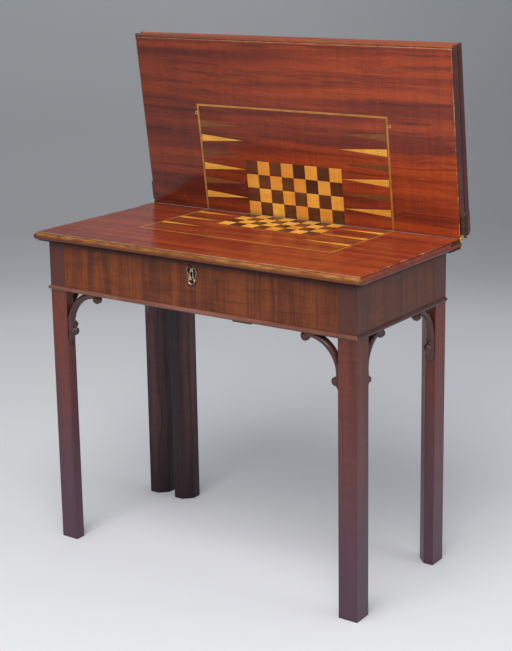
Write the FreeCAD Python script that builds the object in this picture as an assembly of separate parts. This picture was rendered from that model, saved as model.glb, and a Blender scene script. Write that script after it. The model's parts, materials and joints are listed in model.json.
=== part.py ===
import FreeCAD, Part
import math
import os

# Mahogany games table with three leaves, a gate leg and a locked well.
# Millimetres and degrees. X runs along the front, Y to the back, Z up.
# The pieces are drawn about the middle of the leg frame, then moved so that the origin
# lies on the floor under the middle of the whole table, leaves included.

# Table as a whole
playing_height = 711.0
frame_width = 787.0
frame_depth = 357.0
front_overhang = 22.0
side_overhang = 24.0
rear_overhang = 29.0

# Legs and rails
leg_size = 43.0
leg_chamfer = 20.0
rail_height = 110.0
rail_thickness = 22.0
rear_rail_thickness = 18.0
tenon_thickness = 10.0
tenon_setback = 6.0
tenon_wall = 2.0
tenon_shoulder = 8.0
joint_clearance = 0.05

# Bead along the bottom of the frieze
bead_height = 10.0
bead_projection = 4.5
bead_fillet = 1.2

# Leaves
leaf_thickness = 20.0
leaf_gap = 0.3
leaf_opening = 82.55
edge_setback = 7.0
edge_step = 2.0

# Board let into the lower and middle leaves
board_size = 505.0
string_width = 5.0
chess_square = 32.0
squares_per_side = 8
points_per_side = 6
first_point = 38.3
last_point_margin = 46.2
point_base = 16.5
point_gap = 1.0
veneer_thickness = 1.2
eyelet_radius = 4.5
eyelet_hole_radius = 2.0
eyelet_from_hinge = 231.0
eyelet_outset = 2.5

# Leaf hinges, let into the ends of the leaves
hinge_plate_length = 46.0
hinge_plate_margin = 1.4
hinge_plate_thickness = 2.4
hinge_land_margin = 6.0
hinge_land_setback = 3.0
hinge_eye_radius = 4.5
hinge_eye_clearance = 0.4
hinge_lap_gap = 0.1
hinge_pin_radius = 1.8
running_clearance = 0.05

# Lid hinges between the hinge rail and the lower leaf
lid_hinge_length = 60.0
lid_hinge_depth = 24.0
lid_hinge_thickness = 1.8
lid_hinge_spacing = 460.0
lid_barrel_radius = 3.2
lid_barrel_clearance = 0.4
lid_pin_radius = 1.5
lid_axis_inset = 4.0
lid_knuckles = 3
knuckle_end_gap = 0.2
hinge_rail_inset = 1.0

# Gate leg and its rail
gate_leg_gap = 32.0
gate_rail_height = 80.0
gate_rail_gap = 0.8
gate_knuckle_x = 0.0
gate_fingers = 5
gate_finger_gap = 0.4
gate_barrel_clearance = 1.0
gate_pin_radius = 3.0
gate_top_gap = 1.0
gate_shoulder_gap = 1.0
gate_foot_gap = 0.8
gate_tenon_thickness = 9.0

# Well under the lower leaf
well_floor_thickness = 10.0
well_floor_height = 11.0
well_floor_clearance = 0.3
block_length = 46.0
block_depth = 14.0
long_block_drop = 10.5
long_block_x = 107.0

# Scrolled brackets under the frieze
front_bracket_reach = 90.7
side_bracket_reach = 72.0
bracket_setback = 1.5
bracket_hollow_radius = 65.0
bracket_hollow_rise = 10.0
bracket_bar = 13.5
bracket_stem = 9.0
bracket_tail = 33.0
upper_lobe_radius = 9.7
upper_lobe_offset = 6.0
lower_lobe_radius = 9.2
lower_lobe_offset = 1.5
lower_lobe_gap = 16.0

# Lock, its bolt and the plates round it
keyhole_drop = 25.7
keyhole_radius = 2.2
keyhole_slot_width = 2.4
keyhole_slot_drop = 7.0
lock_width = 64.0
lock_height = 44.0
lock_depth = 12.0
lock_wall = 1.6
bolt_thickness = 2.8
bolt_rise = 3.0
bolt_bar_height = 7.0
bolt_upright_width = 5.0
bolt_finger_height = 4.0
bolt_tip_gap = 1.0
bolt_travel = 8.0
bolt_clearance = 0.3
guide_height = 2.0
talon_width = 9.0
talon_depth = 2.5
link_width = 48.0
link_depth = 15.0
link_thickness = 1.5
link_spacing = 28.0
lug_thickness = 2.4
lug_depth = 7.0
lug_drop = 12.0
lug_clearance = 0.8
lug_eye_margin = 2.5
escutcheon_thickness = 1.6
escutcheon_half_width = 13.0
escutcheon_rise = 14.5
escutcheon_drop = 25.0

# Heights and planes that follow from the driving sizes
leaf_width = frame_width + 2 * side_overhang
leaf_depth = frame_depth + front_overhang + rear_overhang
leaf_under = playing_height - leaf_thickness
frame_top = leaf_under - leaf_gap
rail_bottom = frame_top - rail_height
half_width = frame_width / 2
half_depth = frame_depth / 2
leg_inner_x = half_width - leg_size
leg_inner_y = half_depth - leg_size
tenon_length = leg_size - tenon_setback - tenon_thickness - tenon_wall
hinge_y = half_depth + rear_overhang
lower_axis_z = playing_height + leaf_gap / 2
upper_axis_z = lower_axis_z + leaf_thickness + leaf_gap
hinge_land_x = leaf_width / 2 - hinge_land_setback
hinge_land_length = hinge_plate_length + hinge_land_margin
hinge_plate_width = leaf_thickness / 2 - hinge_plate_margin
lid_axis_y = hinge_y - lid_axis_inset
lid_axis_z = leaf_under - leaf_gap / 2
gate_inner_y = leg_inner_y + rear_rail_thickness + gate_rail_gap
gate_rail_thickness = half_depth - gate_inner_y
gate_axis_y = half_depth - gate_rail_thickness / 2
bracket_thickness = leg_size - leg_chamfer - 2 * bracket_setback
bracket_hollow_v = bracket_hollow_radius + bracket_hollow_rise
lower_lobe_u = bracket_stem + lower_lobe_offset
lower_lobe_v = bracket_hollow_v + lower_lobe_gap
bracket_drop = lower_lobe_v + bracket_tail
gate_top = leaf_under - leaf_thickness - leaf_gap - gate_top_gap
gate_bottom = gate_top - gate_rail_height
keyhole_z = frame_top - keyhole_drop
board_half = board_size / 2
point_pitch = (board_half - first_point - last_point_margin) / (points_per_side - 1)

X = FreeCAD.Vector(1, 0, 0)
Y = FreeCAD.Vector(0, 1, 0)
Z = FreeCAD.Vector(0, 0, 1)
ORIGIN = FreeCAD.Vector(0, 0, 0)


def point(x, y, z):
    return FreeCAD.Vector(x, y, z)


def block(low, high):
    """Box between two opposite corners."""
    size = [b - a for a, b in zip(low, high)]
    return Part.makeBox(*size, point(*low))


def rod(start, direction, radius, length):
    return Part.makeCylinder(radius, length, point(*start), direction)


def prism(corners, direction):
    """Solid swept by a flat polygon along a vector."""
    outline = [point(*corner) for corner in corners]
    return Part.Face(Part.makePolygon(outline + outline[:1])).extrude(direction)


def line(a, b):
    return Part.LineSegment(a, b).toShape()


def arc(a, b, c):
    return Part.Arc(a, b, c).toShape()


def mirrored(shape):
    """The same piece on the other end of the table."""
    return shape.mirror(ORIGIN, X)


def both_ends(shape):
    return Part.makeCompound([shape, mirrored(shape)])


def fused(shapes):
    whole = shapes[0].fuse(shapes[1:]) if len(shapes) > 1 else shapes[0]
    return whole.removeSplitter()


def raised(shape):
    """Leaf piece drawn lying closed on the lower leaf, swung up to its opening."""
    up = shape.copy()
    up.rotate(point(0, hinge_y, lower_axis_z), -X, leaf_opening)
    return up


# Rails and their tenons

tenon_low = rail_bottom + tenon_shoulder
tenon_high = frame_top - tenon_shoulder
grow = joint_clearance


def x_rail(y_low, y_high, z_low, z_high, tenon_y, width, ends):
    """Rail along X between the legs, with a tenon at each of the given ends (-1 left, 1 right)."""
    pieces = [block((-leg_inner_x, y_low, z_low), (leg_inner_x, y_high, z_high))]
    for end in ends:
        inner, outer = sorted((end * leg_inner_x, end * (leg_inner_x + tenon_length)))
        low = (inner, tenon_y, z_low + tenon_shoulder)
        high = (outer, tenon_y + width, z_high - tenon_shoulder)
        pieces.append(block(low, high))
    return fused(pieces)


def side_rail(side):
    """Rail along Y at one end of the table, with a tenon at front and back."""
    outer = side * half_width
    faces = sorted((outer, outer - side * rail_thickness))
    tenon = sorted((outer - side * tenon_setback, outer - side * (tenon_setback + tenon_thickness)))
    reach = leg_inner_y + tenon_length
    body = block((faces[0], -leg_inner_y, rail_bottom), (faces[1], leg_inner_y, frame_top))
    core = block((tenon[0], -reach, tenon_low), (tenon[1], reach, tenon_high))
    return fused([body, core])


front_rail_inner = -half_depth + rail_thickness
rear_rail_top = gate_top + gate_top_gap
front_tenon_y = -half_depth + tenon_setback
rear_tenon_y = leg_inner_y + (rear_rail_thickness - tenon_thickness) / 2
front_rail = x_rail(
    -half_depth, front_rail_inner, rail_bottom, frame_top, front_tenon_y, tenon_thickness, (-1, 1))
rear_rail = x_rail(
    leg_inner_y, leg_inner_y + rear_rail_thickness, rail_bottom, rear_rail_top,
    rear_tenon_y, tenon_thickness, (-1, 1))
left_rail = side_rail(-1)
right_rail = side_rail(1)


# Fixed half of the outer back rail and the gate rail, joined by a wooden knuckle

finger_height = gate_rail_height / gate_fingers
knuckle_radius = gate_rail_thickness / 2
shoulder = knuckle_radius + gate_barrel_clearance
gate_leg_left = -leg_inner_x + gate_leg_gap
gate_leg_right = gate_leg_left + leg_size
gate_tenon_y = gate_axis_y - gate_tenon_thickness / 2


def knuckled_rail(side, far_x, inner_y, own_fingers):
    """Half of the back rail: side is 1 for the fixed half, -1 for the gate's half."""
    start, end = sorted((gate_knuckle_x + side * shoulder, far_x))
    body = block((start, inner_y, gate_bottom), (end, half_depth, gate_top))
    pieces = [body]
    for index in own_fingers:
        low = gate_bottom + index * finger_height + (gate_finger_gap / 2 if index else 0)
        last = index == gate_fingers - 1
        high = gate_bottom + (index + 1) * finger_height - (0 if last else gate_finger_gap / 2)
        web = sorted((gate_knuckle_x, gate_knuckle_x + side * shoulder))
        pieces.append(block((web[0], gate_inner_y, low), (web[1], half_depth, high)))
        pieces.append(rod((gate_knuckle_x, gate_axis_y, low), Z, knuckle_radius, high - low))
    inner, outer = sorted((far_x, far_x + side * tenon_length))
    tenon_floor = gate_bottom + tenon_shoulder
    tenon_roof = gate_top - tenon_shoulder
    pieces.append(block((inner, gate_tenon_y, tenon_floor),
                        (outer, gate_tenon_y + gate_tenon_thickness, tenon_roof)))
    pin_hole = rod((gate_knuckle_x, gate_axis_y, gate_bottom), Z,
                   gate_pin_radius + running_clearance, gate_rail_height)
    return fused(pieces).cut(pin_hole)


fixed_fingers = range(0, gate_fingers, 2)
moving_fingers = range(1, gate_fingers, 2)
fixed_back_rail = knuckled_rail(1, leg_inner_x, leg_inner_y + rear_rail_thickness, fixed_fingers)
gate_rail = knuckled_rail(-1, gate_leg_right, gate_inner_y, moving_fingers)
gate_pin = rod((gate_knuckle_x, gate_axis_y, gate_bottom), Z, gate_pin_radius, gate_rail_height)


# Legs: square, with the inner corner chamfered up to the rails

def mortise(low, high):
    return block([a - grow for a in low], [b + grow for b in high])


def fixed_leg(side, end, mortises):
    """Corner leg: side is -1 left or 1 right, end is -1 front or 1 back."""
    x_faces = sorted((side * half_width, side * leg_inner_x))
    y_faces = sorted((end * half_depth, end * leg_inner_y))
    post = block((x_faces[0], y_faces[0], 0), (x_faces[1], y_faces[1], frame_top))
    corner_x = side * leg_inner_x
    corner_y = end * leg_inner_y
    chamfer = prism(
        [(corner_x, corner_y, 0),
         (corner_x + side * leg_chamfer, corner_y, 0),
         (corner_x, corner_y + end * leg_chamfer, 0)],
        Z * rail_bottom)
    return post.cut([chamfer] + mortises)


def rail_mortise(side, tenon_y, z_low, z_high, width):
    inner, outer = sorted((side * leg_inner_x, side * (leg_inner_x + tenon_length)))
    return mortise((inner, tenon_y, z_low + tenon_shoulder), (outer, tenon_y + width, z_high - tenon_shoulder))


def side_mortise(side, end):
    tenon = sorted((side * (half_width - tenon_setback),
                    side * (half_width - tenon_setback - tenon_thickness)))
    reach = sorted((end * leg_inner_y, end * (leg_inner_y + tenon_length)))
    return mortise((tenon[0], reach[0], tenon_low), (tenon[1], reach[1], tenon_high))


legs = {}
for side, side_name in ((-1, "left"), (1, "right")):
    front_cuts = [rail_mortise(side, front_tenon_y, rail_bottom, frame_top, tenon_thickness),
                  side_mortise(side, -1)]
    rear_cuts = [rail_mortise(side, rear_tenon_y, rail_bottom, rear_rail_top, tenon_thickness),
                 side_mortise(side, 1)]
    if side == 1:
        rear_cuts.append(rail_mortise(side, gate_tenon_y, gate_bottom, gate_top, gate_tenon_thickness))
    legs["leg_front_" + side_name] = fixed_leg(side, -1, front_cuts)
    legs["leg_rear_" + side_name] = fixed_leg(side, 1, rear_cuts)


def make_gate_leg():
    """Fifth leg, halved at the top so that it stands outside the inner back rail."""
    shoulder_z = rail_bottom - gate_shoulder_gap
    shaft = block((gate_leg_left, leg_inner_y, gate_foot_gap), (gate_leg_right, half_depth, shoulder_z))
    chamfer = prism(
        [(gate_leg_right, leg_inner_y, gate_foot_gap),
         (gate_leg_right - leg_chamfer, leg_inner_y, gate_foot_gap),
         (gate_leg_right, leg_inner_y + leg_chamfer, gate_foot_gap)],
        Z * shoulder_z)
    head = block((gate_leg_left, gate_inner_y, shoulder_z), (gate_leg_right, half_depth, gate_top))
    tenon = mortise((gate_leg_right - tenon_length, gate_tenon_y, gate_bottom + tenon_shoulder),
                    (gate_leg_right, gate_tenon_y + gate_tenon_thickness, gate_top - tenon_shoulder))
    return fused([shaft.cut(chamfer), head]).cut(tenon)


gate_leg = make_gate_leg()


# Bead round the bottom of the frieze, mitred at the front corners

def bead_section():
    """Astragal with a fillet above and below: outward distance, height above the rail's bottom."""
    top = bead_height
    f = bead_fillet
    return [(0, 0), (f, 0), (f, f), (bead_projection, top / 2), (f, top - f), (f, top), (0, top)]


def bead_face(place):
    """Section of the bead, each point put in space by place(outward, height)."""
    p = [place(outward, height) for outward, height in bead_section()]
    edges = [line(p[0], p[1]), line(p[1], p[2]), arc(p[2], p[3], p[4]),
             line(p[4], p[5]), line(p[5], p[6]), line(p[6], p[0])]
    return Part.Face(Part.Wire(edges))


def front_bead_shape():
    reach = half_width + bead_projection
    run = bead_face(lambda out, up: point(-reach, -half_depth - out, rail_bottom + up)).extrude(X * 2 * reach)
    for side in (-1, 1):
        mitre = prism(
            [(side * half_width, -half_depth, rail_bottom),
             (side * (half_width + 2 * bead_projection), -half_depth - 2 * bead_projection, rail_bottom),
             (side * (half_width + 2 * bead_projection), -half_depth, rail_bottom)],
            Z * bead_height)
        run = run.cut(mitre)
    return run


def side_bead_shape(side):
    start = -half_depth - bead_projection
    length = half_depth - start
    run = bead_face(
        lambda out, up: point(side * (half_width + out), start, rail_bottom + up)).extrude(Y * length)
    mitre = prism(
        [(side * half_width, -half_depth, rail_bottom),
         (side * (half_width + 2 * bead_projection), -half_depth - 2 * bead_projection, rail_bottom),
         (side * half_width, -half_depth - 2 * bead_projection, rail_bottom)],
        Z * bead_height)
    return run.cut(mitre)


# Scrolled bracket: a C-shaped bar between two round lobes, in the corner of leg and rail

def bracket_outline(reach):
    """Closed wire in the XZ plane: x is the distance from the leg, -z the drop from the rail."""
    def at(u, v):
        return point(u, 0, -v)

    quarter = math.sqrt(0.5)
    lobe_u = reach - upper_lobe_radius
    lobe_v = upper_lobe_radius
    hollow_v = bracket_hollow_v
    ring_radius = bracket_hollow_radius + bracket_bar
    squeeze = (lobe_u - upper_lobe_offset) / hollow_v
    ring_start = hollow_v - math.sqrt(ring_radius ** 2 - hollow_v ** 2)
    ring_mid = hollow_v - quarter * ring_radius
    hollow_mid = hollow_v - quarter * bracket_hollow_radius
    lobe_half = math.sqrt(lower_lobe_radius ** 2 - (lower_lobe_u - bracket_stem) ** 2)
    tail_v = lower_lobe_v + lobe_half
    rail_start = at(squeeze * ring_start, 0)
    lobe_top = at(lobe_u, 0)
    lobe_bottom = at(lobe_u, 2 * lobe_v)
    lobe_end = at(lobe_u - upper_lobe_radius, lobe_v)
    hollow_end = at(bracket_stem, hollow_v)
    low_start = at(bracket_stem, lower_lobe_v - lobe_half)
    low_end = at(bracket_stem, tail_v)
    tail_tip = at(0, bracket_drop)
    leg_top = at(0, ring_start)
    return Part.Wire([
        line(rail_start, lobe_top),
        arc(lobe_top, at(reach, lobe_v), lobe_bottom),
        arc(lobe_bottom, at(lobe_u - quarter * lobe_v, lobe_v + quarter * lobe_v), lobe_end),
        arc(lobe_end, at(squeeze * hollow_mid, hollow_mid), hollow_end),
        line(hollow_end, low_start),
        arc(low_start, at(lower_lobe_u + lower_lobe_radius, lower_lobe_v), low_end),
        arc(low_end, at(bracket_stem * 0.36, tail_v + 0.45 * (bracket_drop - tail_v)), tail_tip),
        line(tail_tip, leg_top),
        arc(leg_top, at(squeeze * ring_mid, ring_mid), rail_start)])


def bracket_shape(reach):
    """Bracket at the left front leg, its outer face towards -Y at y = 0."""
    return Part.Face(bracket_outline(reach)).extrude(Y * bracket_thickness)


def placed_bracket(reach, turn, corner):
    """Bracket turned about Z and put at the corner of leg and rail."""
    shape = bracket_shape(reach)
    shape.rotate(ORIGIN, Z, turn)
    shape.translate(corner)
    return shape


front_plane = -half_depth + bracket_setback
side_plane = half_width - bracket_setback
front_left_bracket = placed_bracket(
    front_bracket_reach, 0, point(-leg_inner_x, front_plane, rail_bottom))
right_front_bracket = placed_bracket(
    side_bracket_reach, 90, point(side_plane, -leg_inner_y, rail_bottom))
left_rear_bracket = placed_bracket(
    side_bracket_reach, -90, point(-side_plane, leg_inner_y, rail_bottom))
brackets = {
    "bracket_front_left": front_left_bracket,
    "bracket_front_right": mirrored(front_left_bracket),
    "bracket_right_front": right_front_bracket,
    "bracket_left_front": mirrored(right_front_bracket),
    "bracket_left_rear": left_rear_bracket,
    "bracket_right_rear": mirrored(left_rear_bracket),
}


# Floor of the well and the glue blocks that hold it

floor_low = rail_bottom + well_floor_height
floor_x = half_width - rail_thickness
floor_front = front_rail_inner
floor_back = leg_inner_y
notch_x = leg_inner_x - well_floor_clearance
notch_y = leg_inner_y - well_floor_clearance
well_floor = fused([
    block((-notch_x, floor_front, floor_low), (notch_x, floor_back, floor_low + well_floor_thickness)),
    block((-floor_x, -notch_y, floor_low), (floor_x, notch_y, floor_low + well_floor_thickness))])


def glue_block(x_low, x_high, y_low, y_high, drop=0.0):
    return block((x_low, y_low, rail_bottom - drop), (x_high, y_high, floor_low))


block_places = (-leg_inner_x * 2 / 3, 0.0, leg_inner_x * 2 / 3)
half_block = block_length / 2
block_solids = [glue_block(long_block_x - half_block, long_block_x + half_block,
                           floor_front, floor_front + block_depth, long_block_drop)]
for place in block_places[::2]:
    block_solids.append(glue_block(place - half_block, place + half_block,
                                   floor_front, floor_front + block_depth))
for place in block_places:
    block_solids.append(glue_block(place - half_block, place + half_block,
                                   floor_back - block_depth, floor_back))
for side in (-1, 1):
    faces = sorted((side * floor_x, side * (floor_x - block_depth)))
    block_solids.append(glue_block(faces[0], faces[1], -half_block, half_block))
glue_blocks = Part.makeCompound(block_solids)


# Leaves: plank with a moulded edge on the front and ends, square at the hinges

def edge_edges(place):
    """Moulded edge from the upper face to the lower: place puts inset from the nose and height in space."""
    upper = place(edge_setback, leaf_thickness)
    step = place(edge_setback, leaf_thickness - edge_step)
    nose = place(0, leaf_thickness / 2)
    lower_step = place(edge_setback, edge_step)
    lower = place(edge_setback, 0)
    return [line(upper, step), arc(step, nose, lower_step), line(lower_step, lower)], upper, lower


def leaf_plank(z):
    """Leaf lying closed, its lower face at height z."""
    rear_y = hinge_y - leaf_gap / 2
    front_y = rear_y - leaf_depth
    half = leaf_width / 2
    front, upper, lower = edge_edges(lambda inset, up: point(-half, front_y + inset, z + up))
    rear_upper = point(-half, rear_y, z + leaf_thickness)
    rear_lower = point(-half, rear_y, z)
    section = Part.Wire(front + [line(lower, rear_lower), line(rear_lower, rear_upper),
                                 line(rear_upper, upper)])
    front_run = Part.Face(section).extrude(X * leaf_width)
    left, left_upper, left_lower = edge_edges(lambda inset, up: point(-half + inset, front_y, z + up))
    right, right_upper, right_lower = edge_edges(lambda inset, up: point(half - inset, front_y, z + up))
    across = Part.Wire(left + [line(left_lower, right_lower)] + right[::-1]
                       + [line(right_upper, left_upper)])
    side_run = Part.Face(across).extrude(Y * (leaf_depth - hinge_land_length))
    land = block((-hinge_land_x, rear_y - hinge_land_length, z), (hinge_land_x, rear_y, z + leaf_thickness))
    return fused([front_run.common(side_run), land])


# Hinges let into the ends of the leaves: two lapped eyes on one riveted pin

plate_inner_x = hinge_land_x - hinge_plate_thickness
plate_middle_x = hinge_land_x - hinge_plate_thickness / 2
leaf_rear_y = hinge_y - leaf_gap / 2
half_lap = (hinge_plate_thickness - hinge_lap_gap) / 2


def hinge_plate(axis_z, above):
    """Right-hand plate with half of the lap: below the axis it carries the pin, above it turns on the pin."""
    own_x = plate_inner_x if above else hinge_land_x - half_lap
    other_x = plate_middle_x - hinge_lap_gap / 2 if above else plate_inner_x
    room = hinge_eye_radius + hinge_eye_clearance
    corner_z = axis_z if above else axis_z - room
    notch = block((other_x, hinge_y - room, corner_z),
                  (other_x + half_lap + hinge_lap_gap, hinge_y, corner_z + room))
    eye = rod((own_x, hinge_y, axis_z), X, hinge_eye_radius, half_lap)
    solid = fused([plate_pocket(axis_z, above).cut(notch), eye])
    if above:
        return solid.cut(rod((own_x, hinge_y, axis_z), X, hinge_pin_radius + running_clearance, half_lap))
    return fused([solid, rod((plate_inner_x, hinge_y, axis_z), X, hinge_pin_radius, hinge_plate_thickness)])


def plate_pocket(axis_z, above):
    base = axis_z + leaf_gap / 2 if above else axis_z - leaf_gap / 2 - hinge_plate_width
    return block((plate_inner_x, leaf_rear_y - hinge_plate_length, base),
                 (hinge_land_x, leaf_rear_y, base + hinge_plate_width))


def eye_relief(axis_z):
    """Room for hinge eyes, chiselled square at a rear corner of a leaf end."""
    room = hinge_eye_radius + hinge_eye_clearance
    depth = hinge_plate_thickness + hinge_eye_clearance
    return block((hinge_land_x - depth, hinge_y - room, axis_z - room),
                 (hinge_land_x + hinge_land_setback, hinge_y + room, axis_z + room))


def leaf_end_cuts(leaf_z, plates):
    """Pockets and eye reliefs at both ends of a leaf that lies at leaf_z."""
    cuts = [eye_relief(leaf_z - leaf_gap / 2), eye_relief(leaf_z + leaf_thickness + leaf_gap / 2)]
    cuts += [plate_pocket(axis_z, above) for axis_z, above in plates]
    return cuts + [mirrored(cut) for cut in cuts]


# Inlaid board: half on each leaf, drawn on a face at height z

def board_strip(x_low, x_high, near, far, face_z, down):
    """Veneer between two distances from the hinge line."""
    low, high = sorted((face_z, face_z - down * veneer_thickness))
    return block((x_low, hinge_y - far, low), (x_high, hinge_y - near, high))


def stringing(face_z, down):
    inner = board_half - string_width
    edge = leaf_gap / 2
    strips = [board_strip(-board_half, -inner, edge, board_half, face_z, down),
              board_strip(inner, board_half, edge, board_half, face_z, down),
              board_strip(-inner, inner, inner, board_half, face_z, down)]
    return fused(strips)


def chess_squares(face_z, down, parity):
    """Every second square; parity 0 takes in the left square of the row at the hinge."""
    solids = []
    for row in range(squares_per_side // 2):
        for column in range(squares_per_side):
            if (row + column) % 2 == parity:
                x = (column - squares_per_side / 2) * chess_square
                near = max(row * chess_square, leaf_gap / 2)
                solids.append(board_strip(x, x + chess_square, near, (row + 1) * chess_square, face_z, down))
    return Part.makeCompound(solids)


def backgammon_points(face_z, down, light):
    """Long points from the border to the chessboard, light nearest to the hinge."""
    base_x = board_half - string_width - point_gap
    tip_x = squares_per_side / 2 * chess_square + point_gap
    solids = []
    for index in range(points_per_side):
        if (index % 2 == 0) == light:
            middle = hinge_y - first_point - index * point_pitch
            for side in (-1, 1):
                corners = [(side * base_x, middle - point_base / 2, face_z),
                           (side * tip_x, middle, face_z),
                           (side * base_x, middle + point_base / 2, face_z)]
                solids.append(prism(corners, Z * (-down * veneer_thickness)))
    return Part.makeCompound(solids)


def board_pieces(face_z, down, light_parity):
    """Every veneer of one half of the board; down is 1 on an upper face, -1 on a lower one."""
    return {
        "stringing": stringing(face_z, down),
        "light_squares": chess_squares(face_z, down, light_parity),
        "dark_squares": chess_squares(face_z, down, 1 - light_parity),
        "light_points": backgammon_points(face_z, down, True),
        "dark_points": backgammon_points(face_z, down, False),
    }


def board_recess(face_z, down):
    """Room for all the veneers of one half of the board."""
    field = squares_per_side / 2 * chess_square
    cuts = [stringing(face_z, down), board_strip(-field, field, leaf_gap / 2, field, face_z, down)]
    for light in (True, False):
        cuts += backgammon_points(face_z, down, light).Solids
    return cuts


# Lid hinges: butts between the hinge rail and the lower leaf

lid_hinge_left = lid_hinge_spacing / 2 - lid_hinge_length / 2
knuckle_length = lid_hinge_length / lid_knuckles
hinge_rail_top = frame_top


def butt_leaf(z_low, own_knuckles, carries_pin):
    """Right-hand butt leaf with its share of the barrel, with or without the pin."""
    plate = block((lid_hinge_left, lid_axis_y - lid_hinge_depth, z_low),
                  (lid_hinge_left + lid_hinge_length, lid_axis_y, z_low + lid_hinge_thickness))
    pieces = []
    for index in range(lid_knuckles):
        start = lid_hinge_left + index * knuckle_length
        if index in own_knuckles:
            pieces.append(rod((start + knuckle_end_gap / 2, lid_axis_y, lid_axis_z), X,
                              lid_barrel_radius, knuckle_length - knuckle_end_gap))
        else:
            room = lid_barrel_radius + lid_barrel_clearance
            plate = plate.cut(block((start - knuckle_end_gap / 2, lid_axis_y - room, z_low),
                                    (start + knuckle_length + knuckle_end_gap / 2, lid_axis_y,
                                     z_low + lid_hinge_thickness)))
    if carries_pin:
        pieces.append(rod((lid_hinge_left + knuckle_end_gap, lid_axis_y, lid_axis_z), X, lid_pin_radius,
                          lid_hinge_length - 2 * knuckle_end_gap))
        return fused([plate] + pieces)
    hole = rod((lid_hinge_left, lid_axis_y, lid_axis_z), X, lid_pin_radius + running_clearance, lid_hinge_length)
    return fused([plate] + pieces).cut(hole)


fixed_butt = butt_leaf(frame_top - lid_hinge_thickness, range(0, lid_knuckles, 2), True)
moving_butt = butt_leaf(leaf_under, range(1, lid_knuckles, 2), False)


def butt_gain(z_low):
    """Room for a butt leaf and the barrel in the wood it is let into, open to the back."""
    right = lid_hinge_left + lid_hinge_length
    room = lid_barrel_radius + lid_barrel_clearance
    plate = block((lid_hinge_left, lid_axis_y - lid_hinge_depth, z_low),
                  (right, lid_axis_y, z_low + lid_hinge_thickness))
    barrel = block((lid_hinge_left, lid_axis_y - room, lid_axis_z - room), (right, hinge_y, lid_axis_z + room))
    return plate.fuse(barrel)


hinge_rail_back = lid_axis_y - hinge_rail_inset
hinge_rail = block((-leg_inner_x, leg_inner_y, rear_rail_top), (leg_inner_x, hinge_rail_back, hinge_rail_top))
fixed_gain = butt_gain(frame_top - lid_hinge_thickness)
hinge_rail = hinge_rail.cut([fixed_gain, mirrored(fixed_gain)])


# Box lock let into the back of the front rail: the lid's lugs drop into it and the bolt slides through them

lock_back = front_rail_inner
lock_front = lock_back - lock_depth
lock_middle = lock_back - lock_depth / 2
lock_low = frame_top - lock_height
eye_low = leaf_under - lug_drop + lug_eye_margin
finger_low = eye_low + bolt_clearance
finger_high = finger_low + bolt_finger_height
finger_length = bolt_travel - bolt_tip_gap + bolt_clearance
bar_low = keyhole_z + bolt_rise


def key_slot(half, rise, y_low, depth):
    return block((-half, y_low, keyhole_z - keyhole_slot_drop), (half, y_low + depth, keyhole_z + rise))


def keyhole(y_low, depth):
    """Round hole with a slot below it, as in the plate on the face of the frieze."""
    barrel = rod((0, y_low, keyhole_z), Y, keyhole_radius, depth)
    return barrel.fuse(key_slot(keyhole_slot_width / 2, 0, y_low, depth))


def key_window(y_low, depth):
    """Plain opening behind that plate, chopped square."""
    return key_slot(keyhole_radius, keyhole_radius, y_low, depth)


def lock_block(x_low, x_high, depth, z_low, z_high):
    """Block across the middle plane of the lock."""
    return block((x_low, lock_middle - depth / 2, z_low), (x_high, lock_middle + depth / 2, z_high))


def lug(side, clear, z_low, z_high):
    """Lug of the link plate, or with a clearance the slot that it drops through."""
    left = side * link_spacing / 2 - lug_thickness / 2
    return lock_block(left - clear, left + lug_thickness + clear, lug_depth + 2 * clear, z_low, z_high)


lock_pocket = block((-lock_width / 2, lock_front, lock_low), (lock_width / 2, lock_back, frame_top))
lock_hollow = block((-lock_width / 2 + lock_wall, lock_front + lock_wall, lock_low + lock_wall),
                    (lock_width / 2 - lock_wall, lock_back - lock_wall, frame_top - lock_wall))
lug_slots = [lug(side, lug_clearance, frame_top - lock_wall, frame_top) for side in (-1, 1)]
lock_case = lock_pocket.cut([lock_hollow, key_window(lock_front, lock_wall)] + lug_slots)
guides = [lock_block(*sorted((side * talon_width, side * (lock_width / 2 - lock_wall))),
                     lock_depth - 2 * lock_wall, bar_low - guide_height, bar_low) for side in (-1, 1)]
lock_case = fused([lock_case] + guides)
front_rail = front_rail.cut([lock_pocket, key_window(-half_depth, rail_thickness)])


def make_bolt():
    """Sliding bar with two fingers and, over the keyhole, the notch that the key turns in."""
    pieces = []
    roots = []
    for side in (-1, 1):
        tip = side * link_spacing / 2 - lug_thickness / 2 - bolt_tip_gap
        root = tip - finger_length
        pieces.append(lock_block(root, tip, bolt_thickness, finger_low, finger_high))
        pieces.append(lock_block(root - bolt_upright_width, root, bolt_thickness, bar_low, finger_high))
        roots.append(root)
    pieces.append(lock_block(roots[0] - bolt_upright_width, roots[1], bolt_thickness,
                             bar_low, bar_low + bolt_bar_height))
    talon = lock_block(-talon_width / 2, talon_width / 2, bolt_thickness, bar_low, bar_low + talon_depth)
    return fused(pieces).cut(talon)


lock_bolt = make_bolt()
link_pocket = lock_block(-link_width / 2, link_width / 2, link_depth, leaf_under, leaf_under + link_thickness)
lugs = [lug(side, 0, leaf_under - lug_drop, leaf_under) for side in (-1, 1)]
lug_eye = lock_block(-link_width / 2, link_width / 2, bolt_thickness + 2 * bolt_clearance,
                     eye_low, finger_high + bolt_clearance)
link_plate = fused([link_pocket] + lugs).cut(lug_eye)


# Pierced brass escutcheon, a cartouche of scrolls round the keyhole

def escutcheon_at(across, up):
    """Point on the plate's back, in shares of its half width, and of its rise or drop from the keyhole."""
    height = up * (escutcheon_rise if up > 0 else escutcheon_drop)
    return point(across * escutcheon_half_width, -half_depth, keyhole_z + height)


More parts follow.
